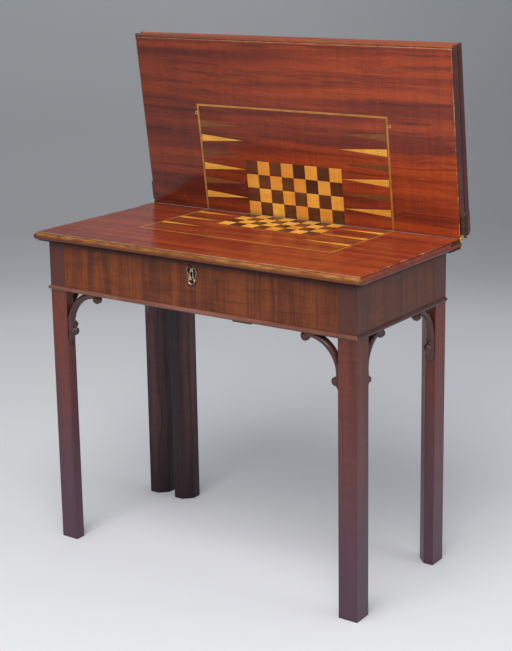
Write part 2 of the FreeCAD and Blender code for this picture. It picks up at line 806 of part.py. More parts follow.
def make_escutcheon():
    at = escutcheon_at
    outline = [
        arc(at(0.06, 0.78), at(-0.42, 1.0), at(-0.88, 0.62)),
        arc(at(-0.88, 0.62), at(-0.98, 0.12), at(-0.70, -0.16)),
        line(at(-0.70, -0.16), at(-0.56, -0.56)),
        arc(at(-0.56, -0.56), at(0.06, -1.0), at(0.62, -0.58)),
        line(at(0.62, -0.58), at(0.78, -0.20)),
        arc(at(0.78, -0.20), at(1.0, 0.30), at(0.86, 0.66)),
        arc(at(0.86, 0.66), at(0.46, 0.92), at(0.06, 0.78))]
    plate = Part.Face(Part.Wire(outline)).extrude(-Y * escutcheon_thickness)
    piercing = Part.makeCylinder(0.22 * escutcheon_half_width, escutcheon_thickness, at(0.04, -0.68), -Y)
    return plate.cut([piercing, keyhole(-half_depth - escutcheon_thickness, escutcheon_thickness)])


escutcheon = make_escutcheon()


# Lower leaf, the lid of the well

lower_board = board_pieces(playing_height, 1, 1)
moving_gain = butt_gain(leaf_under)
lower_cuts = board_recess(playing_height, 1) + leaf_end_cuts(leaf_under, [(lower_axis_z, False)])
lower_cuts += [moving_gain, mirrored(moving_gain), link_pocket]
lower_leaf = leaf_plank(leaf_under).cut(lower_cuts).removeSplitter()

# Middle leaf, with the other half of the board on its lower face

middle_z = playing_height + leaf_gap
middle_board = board_pieces(middle_z, -1, 0)
eyelet_x = board_half + eyelet_outset
eyelet_y = hinge_y - eyelet_from_hinge
eyelet_pocket = rod((eyelet_x, eyelet_y, middle_z), Z, eyelet_radius, veneer_thickness)
eyelet_hole = rod((eyelet_x, eyelet_y, middle_z), Z, eyelet_hole_radius, veneer_thickness)
eyelets = both_ends(eyelet_pocket.cut(eyelet_hole))
middle_board["stringing"] = middle_board["stringing"].cut([eyelet_pocket, mirrored(eyelet_pocket)])
middle_cuts = board_recess(middle_z, -1)
middle_cuts += leaf_end_cuts(middle_z, [(lower_axis_z, True), (upper_axis_z, False)])
middle_cuts += [eyelet_pocket, mirrored(eyelet_pocket)]
middle_leaf = leaf_plank(middle_z).cut(middle_cuts).removeSplitter()

# Top leaf

top_z = middle_z + leaf_thickness + leaf_gap
top_leaf = leaf_plank(top_z).cut(leaf_end_cuts(top_z, [(upper_axis_z, True)]))


# One file for each piece, about the middle of the whole table

os.makedirs("parts", exist_ok=True)
front_most = lower_leaf.optimalBoundingBox().YMin
rear_most = raised(top_leaf).optimalBoundingBox().YMax
depth_middle = (front_most + rear_most) / 2


def export(shape, node):
    piece = shape.copy()
    piece.translate(-Y * depth_middle)
    piece.exportStep("parts/" + node + ".step")


for node, shape in legs.items():
    export(shape, node)
for node, shape in brackets.items():
    export(shape, node)
export(front_rail, "front_rail")
export(left_rail, "left_rail")
export(right_rail, "right_rail")
export(rear_rail, "rear_rail")
export(fixed_back_rail, "fixed_back_rail")
export(hinge_rail, "hinge_rail")
export(front_bead_shape(), "front_bead")
export(side_bead_shape(-1), "left_bead")
export(side_bead_shape(1), "right_bead")
export(well_floor, "well_floor")
export(glue_blocks, "glue_blocks")
export(gate_leg, "gate_leg")
export(gate_rail, "gate_rail")
export(gate_pin, "gate_pin")

export(escutcheon, "escutcheon")
export(lock_case, "lock_case")
export(lock_bolt, "lock_bolt")
export(link_plate, "link_plate")

export(both_ends(fixed_butt), "lid_hinge_fixed_leaves")
export(both_ends(moving_butt), "lid_hinge_moving_leaves")

export(lower_leaf, "lower_leaf")
for piece, shape in lower_board.items():
    export(shape, "lower_" + piece)
export(both_ends(hinge_plate(lower_axis_z, False)), "lower_leaf_hinge_plates")

export(raised(middle_leaf), "middle_leaf")
for piece, shape in middle_board.items():
    export(raised(shape), "middle_" + piece)
export(raised(eyelets), "board_eyelets")
export(raised(both_ends(hinge_plate(lower_axis_z, True))), "middle_leaf_lower_plates")
export(raised(both_ends(hinge_plate(upper_axis_z, False))), "middle_leaf_upper_plates")

export(raised(top_leaf), "top_leaf")
export(raised(both_ends(hinge_plate(upper_axis_z, True))), "top_leaf_hinge_plates")
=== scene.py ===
# %% [markdown]
# # A folding games table in mahogany
# The table has three hinged leaves, an inlaid board, a locked well and a gate leg. Its solids come from the
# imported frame, in metres. They could be modelled again here, but then sizes and joints would have to be kept
# in step by hand. So this lesson dresses them in wood, brass and iron, carves what they only outline, and
# sets up a plain studio.

# %% Load the frame
import json
import math

import bmesh
import bpy
import numpy as np
from mathutils import Matrix, Vector
from mathutils.geometry import delaunay_2d_cdt


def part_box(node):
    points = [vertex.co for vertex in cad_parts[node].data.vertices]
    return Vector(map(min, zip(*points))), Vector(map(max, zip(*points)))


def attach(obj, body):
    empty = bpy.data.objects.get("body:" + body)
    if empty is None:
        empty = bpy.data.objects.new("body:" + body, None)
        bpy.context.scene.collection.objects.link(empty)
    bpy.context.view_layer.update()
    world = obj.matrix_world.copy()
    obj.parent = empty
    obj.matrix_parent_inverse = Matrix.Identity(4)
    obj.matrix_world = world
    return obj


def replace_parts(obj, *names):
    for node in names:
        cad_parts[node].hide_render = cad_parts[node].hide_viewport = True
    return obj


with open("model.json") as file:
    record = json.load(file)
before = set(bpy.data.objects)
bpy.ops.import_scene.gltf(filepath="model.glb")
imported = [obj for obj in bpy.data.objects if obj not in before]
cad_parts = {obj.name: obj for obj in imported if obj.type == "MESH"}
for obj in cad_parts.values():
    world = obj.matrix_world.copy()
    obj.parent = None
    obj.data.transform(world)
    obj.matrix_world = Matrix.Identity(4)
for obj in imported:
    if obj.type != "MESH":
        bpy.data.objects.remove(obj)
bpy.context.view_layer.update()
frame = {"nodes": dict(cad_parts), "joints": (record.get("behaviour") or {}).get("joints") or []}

MM = 0.001

# %% [markdown]
# ## The camera
# The picture was taken from the front right, a little above the leaves. A camera could be placed by eye,
# but angles, a roll, a distance and a point to aim at can be fitted to corners seen in the picture. A small
# shift brings the upright legs nearer to parallel. It stays small, because every other view keeps it.

# %% Camera
def add_object(name, data):
    made = bpy.data.objects.new(name, data)
    bpy.context.scene.collection.objects.link(made)
    return made


picture_size = (512, 651)
sensor_size = 36.0
camera_azimuth = math.radians(34.03)
camera_elevation = math.radians(12.43)
camera_roll = math.radians(-0.59)
camera_distance = 2.9314
focal_pixels = 1407.8
axis_pixel = (294.2, 250.6)
aim_side = 0.1317
aim_height = 0.6934

frame_middle_y = (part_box("leg_front_left")[0].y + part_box("leg_rear_right")[1].y) / 2
aim = Vector((aim_side, frame_middle_y, aim_height))
flat_right = Vector((math.cos(camera_azimuth), math.sin(camera_azimuth), 0))
flat_away = Vector((-math.sin(camera_azimuth), math.cos(camera_azimuth), 0))
backward = Vector((0, 0, math.sin(camera_elevation))) - flat_away * math.cos(camera_elevation)
level_up = backward.cross(flat_right)
right = flat_right * math.cos(camera_roll) + level_up * math.sin(camera_roll)
up = level_up * math.cos(camera_roll) - flat_right * math.sin(camera_roll)
camera_place = aim + backward * camera_distance

camera_data = bpy.data.cameras.new("camera")
camera = add_object("camera", camera_data)
camera.matrix_world = Matrix((right, up, backward)).transposed().to_4x4()
camera.matrix_world.translation = camera_place
camera_data.lens = focal_pixels / picture_size[1] * sensor_size
camera_data.sensor_width = sensor_size
camera_data.shift_x = (picture_size[0] / 2 - axis_pixel[0]) / picture_size[1]
camera_data.shift_y = (axis_pixel[1] - picture_size[1] / 2) / picture_size[1]
bpy.context.scene.camera = camera
bpy.context.scene.view_settings.view_transform = "Standard"
print("camera at", camera_place, "lens", round(camera_data.lens, 2))

# %% [markdown]
# ## Building shader nodes
# A material is a small graph of nodes. It could be drawn by hand in the shader editor, but a script can
# repeat it for thirty finishes. One helper makes a node and feeds it with numbers or with the outputs of
# other nodes. Short ones on top of it cover the sums, mixes and noises that every finish needs.

# %% Node helpers
def put(kind, inputs, tree=None, **options):
    """New node fed with constants or sockets; it goes where the sockets are, or into a given tree."""
    sockets = {name: value for name, value in inputs.items() if isinstance(value, bpy.types.NodeSocket)}
    if tree is None:
        tree = next(iter(sockets.values())).id_data
    made = tree.nodes.new(kind)
    for name, value in options.items():
        setattr(made, name, value)
    for name, value in inputs.items():
        if name in sockets:
            tree.links.new(value, made.inputs[name])
        else:
            made.inputs[name].default_value = value
    return made


def maths(operation, a, b=0.0):
    return put("ShaderNodeMath", {0: a, 1: b}, operation=operation).outputs[0]


def product(a, b):
    return maths("MULTIPLY", a, b)


def vectors(operation, a, b):
    return put("ShaderNodeVectorMath", {0: a, 1: b}, operation=operation).outputs[0]


def reach_along(a, b):
    """How far one vector reaches along another of length one."""
    return put("ShaderNodeVectorMath", {0: a, 1: b}, operation="DOT_PRODUCT").outputs["Value"]


def ramp(value, low, high, out_low=0.0, out_high=1.0):
    """Value brought from one span to another, smooth at both ends."""
    feeds = {"Value": value, "From Min": low, "From Max": high, "To Min": out_low, "To Max": out_high}
    return put("ShaderNodeMapRange", feeds, interpolation_type="SMOOTHSTEP").outputs[0]


def tint(share, a, b, how="MIX"):
    made = put("ShaderNodeMix", {0: share, 6: a, 7: b}, data_type="RGBA", blend_type=how)
    return made.outputs[2]


def noise(vector, cells, detail=3.0, roughness=0.5, distortion=0.0):
    """Noise with its own number of cells per metre along each axis."""
    feeds = {"Vector": vectors("MULTIPLY", vector, cells), "Scale": 1.0, "Detail": detail,
             "Roughness": roughness, "Distortion": distortion}
    return put("ShaderNodeTexNoise", feeds).outputs[0]


print("node helpers ready")

# %% [markdown]
# ## Groups, materials and colours
# What many materials share, such as grain, is a node group: made once and used wherever it is wanted.
# Colours are written as they look on a screen, because that is how one reads them off a picture, and are
# turned into linear light for the shader.

# %% Group, material and colour helpers
def send(inputs, sockets):
    """Link sockets to the inputs of the same names."""
    for name, socket in sockets.items():
        socket.id_data.links.new(socket, inputs[name])


def new_group(name, inputs, outputs):
    """Empty node group with sockets listed by kind: its tree, what it is given and what it puts out."""
    tree = bpy.data.node_groups.new(name, "ShaderNodeTree")
    for way, kinds in (("INPUT", inputs), ("OUTPUT", outputs)):
        for kind, labels in kinds.items():
            for label in labels.split():
                tree.interface.new_socket(label, in_out=way, socket_type="NodeSocket" + kind)
    return tree, put("NodeGroupInput", {}, tree).outputs, put("NodeGroupOutput", {}, tree).inputs


def use_group(group, position, **feeds):
    """Outputs of a group that is put to use at a position."""
    return put("ShaderNodeGroup", {"Position": position, **feeds}, node_tree=group).outputs


def new_material(name):
    """New material, its shader's inputs and the place on the object."""
    material = bpy.data.materials.new(name)
    material.use_nodes = True
    tree = material.node_tree
    place = put("ShaderNodeTexCoord", {}, tree).outputs["Object"]
    return material, tree.nodes["Principled BSDF"].inputs, place


def dress(surface, shown, polish, rub, height, strength, depth):
    """Feed a shader with its colour, its gloss and its fine relief."""
    feeds = {"Strength": strength, "Distance": depth, "Height": height, "Normal": rub["Normal"]}
    relief = put("ShaderNodeBump", feeds).outputs[0]
    send(surface, {"Base Color": shown, "Roughness": polish["Roughness"], "Normal": relief})


def colour(tone):
    """Colour written as it looks on a screen, from 0 to 255, for a shader that works in linear light."""
    linear = []
    for value in tone:
        share = value / 255
        linear.append(share / 12.92 if share <= 0.04045 else ((share + 0.055) / 1.055) ** 2.4)
    return (*linear, 1.0)


print("screen grey 128 is", round(colour((128, 128, 128))[0], 3), "in linear light")

# %% [markdown]
# ## Grain of the wood
# Mahogany shows soft bands, thin dark streaks, fine fibres and short open pores, all along the grain, and a
# figure that crosses them. A photograph of a board could be laid on, but it would show its seams. Here each
# is a noise, stretched along the first axis or across it, so that one group serves a leaf, a leg or an inlay.

# %% Grain group
sway_cells = (2.2, 9.0, 9.0)
sway_reach = 0.05
band_cells = (1.3, 34.0, 34.0)
streak_cells = (1.1, 120.0, 120.0)
fibre_cells = (22.0, 800.0, 800.0)
pore_cells = (160.0, 2600.0, 2600.0)
pore_share = 0.35
flame_cells = (24.0, 5.0, 5.0)
ribbon_cells = (120.0, 8.0, 8.0)


def make_grain():
    tree, given, result = new_group(
        "wood_grain", {"Vector": "Position", "Color": "Pale Middle Dark", "Float": "Streaks Flame"},
        {"Color": "Color", "Float": "Height"})
    sway = noise(given["Position"], sway_cells, 2.0)
    drift = product(maths("SUBTRACT", sway, 0.5), sway_reach)
    shift = put("ShaderNodeCombineXYZ", {"Y": drift, "Z": drift}).outputs[0]
    fibre = vectors("ADD", given["Position"], shift)
    bands = ramp(noise(fibre, band_cells, 4.0, 0.55), 0.32, 0.68)
    streaks = ramp(noise(fibre, streak_cells, 3.0, 0.6), 0.52, 0.70)
    lines = noise(fibre, fibre_cells, 2.0)
    pores = ramp(noise(fibre, pore_cells, 1.0), 0.62, 0.72)
    flame = noise(fibre, flame_cells, 3.0, 0.5, 0.8)
    ribbon = ramp(noise(fibre, ribbon_cells, 2.0), 0.30, 0.70, 0.93, 1.07)
    dark_flame = product(ramp(flame, 0.50, 0.72), given["Flame"])
    pale_flame = product(ramp(flame, 0.48, 0.28), given["Flame"])
    shown = tint(bands, given["Middle"], given["Pale"])
    shown = tint(product(streaks, given["Streaks"]), shown, given["Dark"])
    shown = tint(dark_flame, shown, given["Dark"])
    shown = tint(pale_flame, shown, given["Pale"])
    shade = product(ramp(lines, 0.25, 0.75, 0.82, 1.12), ribbon)
    grey = put("ShaderNodeCombineColor", {"Red": shade, "Green": shade, "Blue": shade}).outputs[0]
    shown = tint(1.0, shown, grey, "MULTIPLY")
    shown = tint(product(pores, pore_share), shown, given["Dark"])
    height = maths("SUBTRACT", product(lines, 0.4), pores)
    send(result, {"Color": shown, "Height": height})
    return tree


grain_group = make_grain()
print("grain group:", len(grain_group.nodes), "nodes")

# %% [markdown]
# ## Worn edges
# Edges that hands have rubbed for two centuries are softened and paler. They could be cut as true bevels,
# but the solids' meshes stay as they are. A bevel node finds edges instead, because its rounded normal turns
# away from the true one only there, and the same normal softens the edge in the light.

# %% Wear group
patch_cells = (60.0, 60.0, 60.0)


def make_wear():
    tree, given, result = new_group(
        "edge_wear", {"Vector": "Position", "Float": "Radius Amount"}, {"Float": "Wear", "Vector": "Normal"})
    rounded = put("ShaderNodeBevel", {"Radius": given["Radius"]}, samples=6).outputs[0]
    true_normal = put("ShaderNodeNewGeometry", {}, tree).outputs["Normal"]
    apart = maths("SUBTRACT", 1.0, reach_along(rounded, true_normal))
    near_edge = ramp(apart, 0.01, 0.20)
    patches = ramp(noise(given["Position"], patch_cells, 4.0, 0.6), 0.30, 0.65)
    worn = product(product(near_edge, patches), given["Amount"])
    send(result, {"Wear": worn, "Normal": rounded})
    return tree


wear_group = make_wear()
print("wear group:", len(wear_group.nodes), "nodes")

# %% [markdown]
# ## Old polish, dirt and corner shade
# Wax never lies evenly, so the gloss varies in soft smears, and dirt gathers where a cloth can't reach. Both
# could be painted by hand. A broad noise and an occlusion node, which finds corners, do it for every piece.
# The dark that the occlusion node gives is partly dirt and partly painted shade in the corners.

# %% Polish group
smear_cells = (7.0, 7.0, 7.0)
corner_reach = 12 * MM


def make_polish():
    tree, given, result = new_group(
        "old_polish", {"Vector": "Position", "Float": "Roughness Spread"}, {"Float": "Roughness Grime"})
    smears = noise(given["Position"], smear_cells, 5.0, 0.6)
    change = product(maths("SUBTRACT", smears, 0.5), given["Spread"])
    rough = put("ShaderNodeMath", {0: change, 1: given["Roughness"]}, operation="ADD", use_clamp=True)
    # The occlusion node darkens corners: partly dirt, partly painted shade.
    open_air = put("ShaderNodeAmbientOcclusion", {"Distance": corner_reach}, tree, samples=4).outputs["AO"]
    send(result, {"Roughness": rough.outputs[0], "Grime": ramp(open_air, 0.85, 0.30)})
    return tree


polish_group = make_polish()
print("polish group:", len(polish_group.nodes), "nodes")

# %% [markdown]
# ## Rims of the leaves
# Each leaf has a flat field, a small step and a rounded nose round it. Hands have worn the nose golden at
# the front, and the gold is also a painted highlight, kept to the upper half of the nose. The field's edge
# carries a pale broken line, partly rubbed and partly a painted highlight, the step is darker, and a painted
# shadow lies on the lid's underside behind its nose. Masks could be painted. It is simpler to measure how
# far a point lies past the field and from the face, because all these marks follow the rim.

# %% Places on a rim
def leaf_places(given):
    """Way from the hinge, how far it goes along the leaf, and the place across the leaf."""
    from_hinge = vectors("SUBTRACT", given["Position"], given["Hinge"])
    along = reach_along(from_hinge, given["Direction"])
    across = put("ShaderNodeSeparateXYZ", {0: given["Position"]}).outputs["X"]
    return from_hinge, along, across


def rim_places(given):
    """Millimetres past the field at the front and at the ends, and millimetres from the face."""
    from_hinge, along, across = leaf_places(given)
    depth = reach_along(from_hinge, given["Face"])
    side = maths("ABSOLUTE", across)
    field_reach = maths("SUBTRACT", given["Reach"], given["Nose"])
    field_half = maths("SUBTRACT", given["Half"], given["Nose"])
    past_front = maths("DIVIDE", maths("SUBTRACT", along, field_reach), MM)
    past_ends = maths("DIVIDE", maths("SUBTRACT", side, field_half), MM)
    level = maths("DIVIDE", maths("ABSOLUTE", depth), MM)
    return past_front, past_ends, level


nose_streak_cells = (36.0, 190.0, 190.0)
nose_patch_cells = (5.0, 1.0, 1.0)
scratch_cells = (40.0, 140.0, 140.0)
scuff_cells = (7.0, 7.0, 7.0)
chip_cells = (24.0, 24.0, 24.0)
print("chips on the rim are about", round(1000 / chip_cells[0]), "mm apart")

# %% Rim group
def make_rim():
    tree, given, result = new_group(
        "leaf_rim", {"Vector": "Position Hinge Direction Face", "Float": "Reach Half Nose"},
        {"Float": "Front Mottle Under Ends Line Groove Scuffs Below"})
    position = given["Position"]
    past_front, past_ends, level = rim_places(given)
    past = maths("MAXIMUM", past_front, past_ends)
    upper = ramp(level, 3.2, 2.5)
    streaky = ramp(noise(position, nose_streak_cells, 6.0, 0.75), 0.34, 0.66)
    patchy = ramp(noise(position, nose_patch_cells, 2.0), 0.32, 0.62, 0.4, 1.0)
    scratch = ramp(noise(position, scratch_cells, 3.0, 0.6), 0.63, 0.70)
    scuffed = ramp(noise(position, scuff_cells, 1.0), 0.60, 0.66)
    chips = noise(position, chip_cells, 9.0, 0.85)
    front_dots = ramp(chips, 0.30, 0.66)
    end_dots = ramp(chips, 0.48, 0.60)
    at_end = ramp(maths("SUBTRACT", past_ends, past_front), -0.5, 0.5)
    dots = put("ShaderNodeMix", {0: at_end, 2: front_dots, 3: end_dots}, data_type="FLOAT").outputs[0]
    line = product(ramp(past, -1.3, -0.7), ramp(past, 0.2, -0.1))
    groove = product(ramp(past, 0.0, 0.3), ramp(past, 2.0, 1.2))
    send(result, {
        "Front": ramp(past_front, -0.2, 1.2),
        "Mottle": product(streaky, patchy),
        "Under": ramp(level, 6.0, 11.0),
        "Ends": ramp(past_ends, -0.2, 1.2),
        "Line": product(product(line, upper), dots),
        "Groove": product(groove, upper),
        "Scuffs": product(scratch, scuffed),
        # Painted shadow on the lid's underside, behind its nose.
        "Below": product(ramp(level, 13.5, 15.5), ramp(past, -22.0, -16.0)),
    })
    return tree


rim_group = make_rim()
print("rim group:", len(rim_group.nodes), "nodes")

# %% [markdown]
# ## Tones of squares and boards
# The squares were cut from different strips, so no two have quite the same tone. Each square could have its
# own material. A white noise that is read once per square gives the same. A plain ramp shifts a piece's tone
# along one way, and most of its uses are painted light: shade on a leaf towards its left end, shadow under the
# lid, shade at the rear legs' feet and a reflection at the front legs' feet.

# %% Square and shade groups
def make_square_tone():
    tree, given, result = new_group(
        "square_tone", {"Vector": "Position Hinge Direction", "Float": "Size"}, {"Float": "Tone"})
    _, along, across = leaf_places(given)
    row, column = (maths("FLOOR", maths("DIVIDE", value, given["Size"])) for value in (along, across))
    cell = put("ShaderNodeCombineXYZ", {"X": column, "Y": row, "Z": 0.5}).outputs[0]
    tone = put("ShaderNodeTexWhiteNoise", {"Vector": cell}, noise_dimensions="3D").outputs["Value"]
    send(result, {"Tone": tone})
    return tree


def make_shade():
    tree, given, result = new_group(
        "shade_across", {"Vector": "Position Way", "Color": "Color Tone", "Float": "Start End Share"},
        {"Color": "Color"})
    along = reach_along(given["Position"], given["Way"])
    mask = ramp(along, given["Start"], given["End"], 0.0, given["Share"])
    send(result, {"Color": tint(mask, given["Color"], given["Tone"])})
    return tree


square_group = make_square_tone()
shade_group = make_shade()
print("square group:", len(square_group.nodes), "nodes, shade group:", len(shade_group.nodes))

# %% [markdown]
# ## Measures of the leaves
# The marks on a leaf need its hinge, its reach and the way that it faces. They could be typed in again, but
# the frame already knows the hinge line, how far the middle leaf stands open and each solid's box.

# %% Measures of the leaves
leaf_joint = {joint["name"]: joint for joint in frame["joints"]}["middle_leaf_fold"]
leaf_hinge = Vector(leaf_joint["pos_m"])
leaf_opening = math.radians(leaf_joint["range_deg"][1])
leaf_low, leaf_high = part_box("lower_leaf")
leaf_reach = leaf_hinge.y - leaf_low.y
leaf_half_width = leaf_high.x
nose_width = 7 * MM
square_size = 32 * MM
right_way = Vector((1, 0, 0))
back_way = Vector((0, 1, 0))
upward = Vector((0, 0, 1))
flat_leaf = dict(direction=-back_way, face=upward)
raised_leaf = dict(direction=Vector((0, -math.cos(leaf_opening), math.sin(leaf_opening))),
                   face=Vector((0, math.sin(leaf_opening), math.cos(leaf_opening))))
print("leaf reach", round(leaf_reach, 4), "opening", round(math.degrees(leaf_opening), 2))

# %% [markdown]
# ## Wood finishes
# Each wood is grain under a thin old polish, rubbed at its edges, and dark in its corners with dirt and
# painted shade. Every piece could get a material drawn for it alone, but then a change would have to be made
# two dozen times. One function builds them all, and the leaves, squares and boards add their touches, some of
# them painted shade, highlight and reflection.

# %% Touches on a wood
# Tone that darkens the step between field and nose.
step_dark_tone = (44, 21, 16)
groove_share = 0.8
# The pale line on the field's edge is partly rubbing and partly a painted highlight.
rubbed_line_and_highlight = (228, 196, 152)
scuff_tone = (196, 136, 106)
scuff_share = 0.22
nose_brown = (116, 62, 34)
nose_under = (112, 62, 46)
under_share = 0.85
# Tone of the painted shadow on the lid's underside.
shadow_below_tone = (26, 12, 12)
square_share = 0.7


def grain_position(place, along, offset, fineness):
    """Place on the object with the grain's axis first, moved so that no two boards look alike."""
    if fineness != 1.0:
        feeds = {0: place, "Scale": fineness}
        place = put("ShaderNodeVectorMath", feeds, operation="SCALE").outputs[0]
    if along != "X":
        parts = put("ShaderNodeSeparateXYZ", {0: place}).outputs
        order = {"Y": ("Y", "X", "Z"), "Z": ("Z", "Y", "X")}[along]
        feeds = dict(zip("XYZ", (parts[name] for name in order)))
        place = put("ShaderNodeCombineXYZ", feeds).outputs[0]
    return vectors("ADD", place, offset)


def rim_touches(place, shown, worn, leaf, gold, line, ends, end_tone, below=0.0):
    """Colour of a leaf with its nose golden from wear and painted highlight, dark ends, a pale line rubbed and
    painted as highlight, a darker step and painted shadow below, and where its nose is.
    """
    rim = use_group(rim_group, place, Hinge=leaf_hinge, Direction=leaf["direction"], Face=leaf["face"],
                    Reach=leaf_reach, Half=leaf_half_width, Nose=nose_width)
    # The nose's gold is wear and painted highlight; its lower half takes a darker tone.
    gold_wear_and_highlight = tint(rim["Mottle"], colour(nose_brown), colour(worn))
    gold_wear_and_highlight = tint(product(rim["Under"], under_share), gold_wear_and_highlight, colour(nose_under))
    touches = ((rim["Scuffs"], scuff_share, colour(scuff_tone)), (rim["Front"], gold, gold_wear_and_highlight),
               (rim["Ends"], ends, colour(end_tone)), (rim["Groove"], groove_share, colour(step_dark_tone)),
               (rim["Line"], line, colour(rubbed_line_and_highlight)), (rim["Below"], below, colour(shadow_below_tone)))
    for mask, share, tone in touches:
        shown = tint(product(mask, share), shown, tone)
    return shown, maths("MAXIMUM", rim["Front"], rim["Ends"])


def square_touches(place, shown, leaf, other):
    """Colour of the board's squares, each mixed with another tone by its own share."""
    square = use_group(square_group, place, Hinge=leaf_hinge, Direction=leaf["direction"], Size=square_size)
    return tint(product(square["Tone"], square_share), shown, colour(other))


print("nose", round(nose_width / MM), "mm wide, squares", round(square_size / MM), "mm")

# %% Wood material
corner_dirt_and_shade = (28, 16, 12)
corner_share = 0.55
smear_share = 0.7
nose_coat = 0.2
coat_roughness = 0.08
leaf_coat_roughness = 0.2
grain_relief = dict(strength=0.12, depth=0.4 * MM)


def wood(name, tones, along="X", offset=(0.0, 0.0, 0.0), fineness=1.0, streaks=0.5, flame=0.2,
         roughness=0.25, shine=0.3, coat=0.0, worn=(190, 130, 80), wear=0.6, edge=1.5 * MM, rim=None,
         squares=None, shades=()):
    """Polished wood of a pale, a middle and a dark tone; rim, squares and shades are what some pieces add."""
    pale, middle, dark = map(colour, tones)
    material, surface, place = new_material(name)
    position = grain_position(place, along, offset, fineness)
    grain = use_group(grain_group, position, Pale=pale, Middle=middle, Dark=dark, Streaks=streaks,
                      Flame=flame)
    rub = use_group(wear_group, position, Radius=edge, Amount=wear)
    polish = use_group(polish_group, position, Roughness=roughness, Spread=smear_share * roughness)
    shown = tint(rub["Wear"], grain["Color"], colour(worn))
    if rim:
        shown, nose = rim_touches(place, shown, worn, **rim)
        send(surface, {"Coat Weight": ramp(nose, 0.0, 1.0, coat, nose_coat)})
    if squares:
        shown = square_touches(place, shown, **squares)
    for shade in shades:
        shown = use_group(shade_group, place, Color=shown, **shade)["Color"]
    # Corners turn dark: partly dirt, partly painted shade.
    shown = tint(product(polish["Grime"], corner_share), shown, colour(corner_dirt_and_shade))
    dress(surface, shown, polish, rub, grain["Height"], **grain_relief)
    surface["Specular IOR Level"].default_value = shine
    surface["Coat Weight"].default_value = coat
    surface["Coat Roughness"].default_value = leaf_coat_roughness if rim else coat_roughness
    return material


print("wood function ready")

# %% [markdown]
# ## The woods of this table
# The leaves are red mahogany, the frieze and legs a browner one, and the pieces that nobody sees oak and
# pine. Each could be mixed in the shader editor. Here a wood is three tones judged from the picture, and one
# that is close to another is written as a change of it.

# %% Tones of the woods
leaf_red = dict(tones=((174, 76, 40), (134, 52, 33), (76, 35, 32)), streaks=0.5, flame=0.12,
                roughness=0.17, worn=(192, 132, 64), wear=0.15)
raised_red = dict(leaf_red, tones=((180, 76, 38), (122, 49, 33), (66, 32, 32)))
frieze_brown = dict(tones=((130, 66, 33), (96, 48, 30), (52, 27, 20)), along="Z", streaks=0.35,
                    flame=0.32, roughness=0.32, shine=0.2, worn=(150, 96, 60), fineness=1.9)
side_brown = dict(frieze_brown, tones=((106, 62, 46), (88, 52, 42), (58, 34, 29)), flame=0.2, streaks=0.25)
leg_brown = dict(tones=((118, 57, 45), (93, 45, 37), (50, 26, 26)), along="Z", streaks=0.5,
                 flame=0.15, roughness=0.34, worn=(146, 92, 72))
# The rear legs take a darker copy of the leg wood, partly painted shade, since they stand under the table.
rear_brown_shaded = dict(leg_brown, tones=((94, 56, 60), (46, 30, 36), (22, 15, 20)), streaks=0.8)
# The front bead is a lighter copy of the leg wood, a painted highlight along its roll.
highlit_bead_brown = dict(leg_brown, tones=((150, 96, 76), (116, 70, 57), (70, 40, 34)), roughness=0.24)
bracket_brown = dict(leg_brown, tones=((90, 52, 48), (70, 41, 40), (38, 23, 24)), roughness=0.28)
oak = dict(tones=((134, 94, 60), (104, 70, 44), (60, 38, 26)), roughness=0.55, wear=0.2)
pine = dict(tones=((120, 84, 56), (96, 64, 42), (60, 38, 26)), roughness=0.6, wear=0.1)

rail_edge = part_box("front_rail")[1].z
bead_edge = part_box("front_bead")[0].z
shadow = colour((26, 15, 16))
# Painted shadow of the lid's overhang on the top of frieze, side frieze and legs.
under_lid_shadow = dict(Way=upward, Start=rail_edge - 15 * MM, End=rail_edge - 3 * MM, Share=0.7, Tone=shadow)
leg_head = dict(Way=upward, Start=bead_edge - 6 * MM, End=bead_edge + 6 * MM, Share=0.75,
                Tone=colour((80, 46, 36)))
# Painted reflection of the pale floor: the front legs turn bluish purple towards the foot.
leg_foot_reflection = dict(Way=upward, Start=0.56, End=0.04, Share=0.85, Tone=colour((80, 59, 75)))
# Painted shade: the rear legs grow darker towards the foot.
rear_foot_shade = dict(Way=upward, Start=0.3, End=0.02, Share=0.7, Tone=colour((16, 10, 15)))
# Painted shade: both leaves grow darker towards their left ends, the raised one more than the lid.
raised_left_shade = dict(Way=right_way, Start=leaf_half_width, End=-leaf_half_width, Share=0.48, Tone=shadow)
flat_left_shade = dict(raised_left_shade, Share=0.2)
raised_rim = dict(leaf=raised_leaf, gold=0.3, ends=0.85, end_tone=(58, 33, 35))
# On the lid, below is the share of the painted shadow behind its nose.
flat_rim = dict(leaf=flat_leaf, gold=0.95, line=0.75, ends=0.6, end_tone=(92, 54, 48), below=0.85)
print("rail edge at", round(rail_edge, 4), "bead edge at", round(bead_edge, 4))

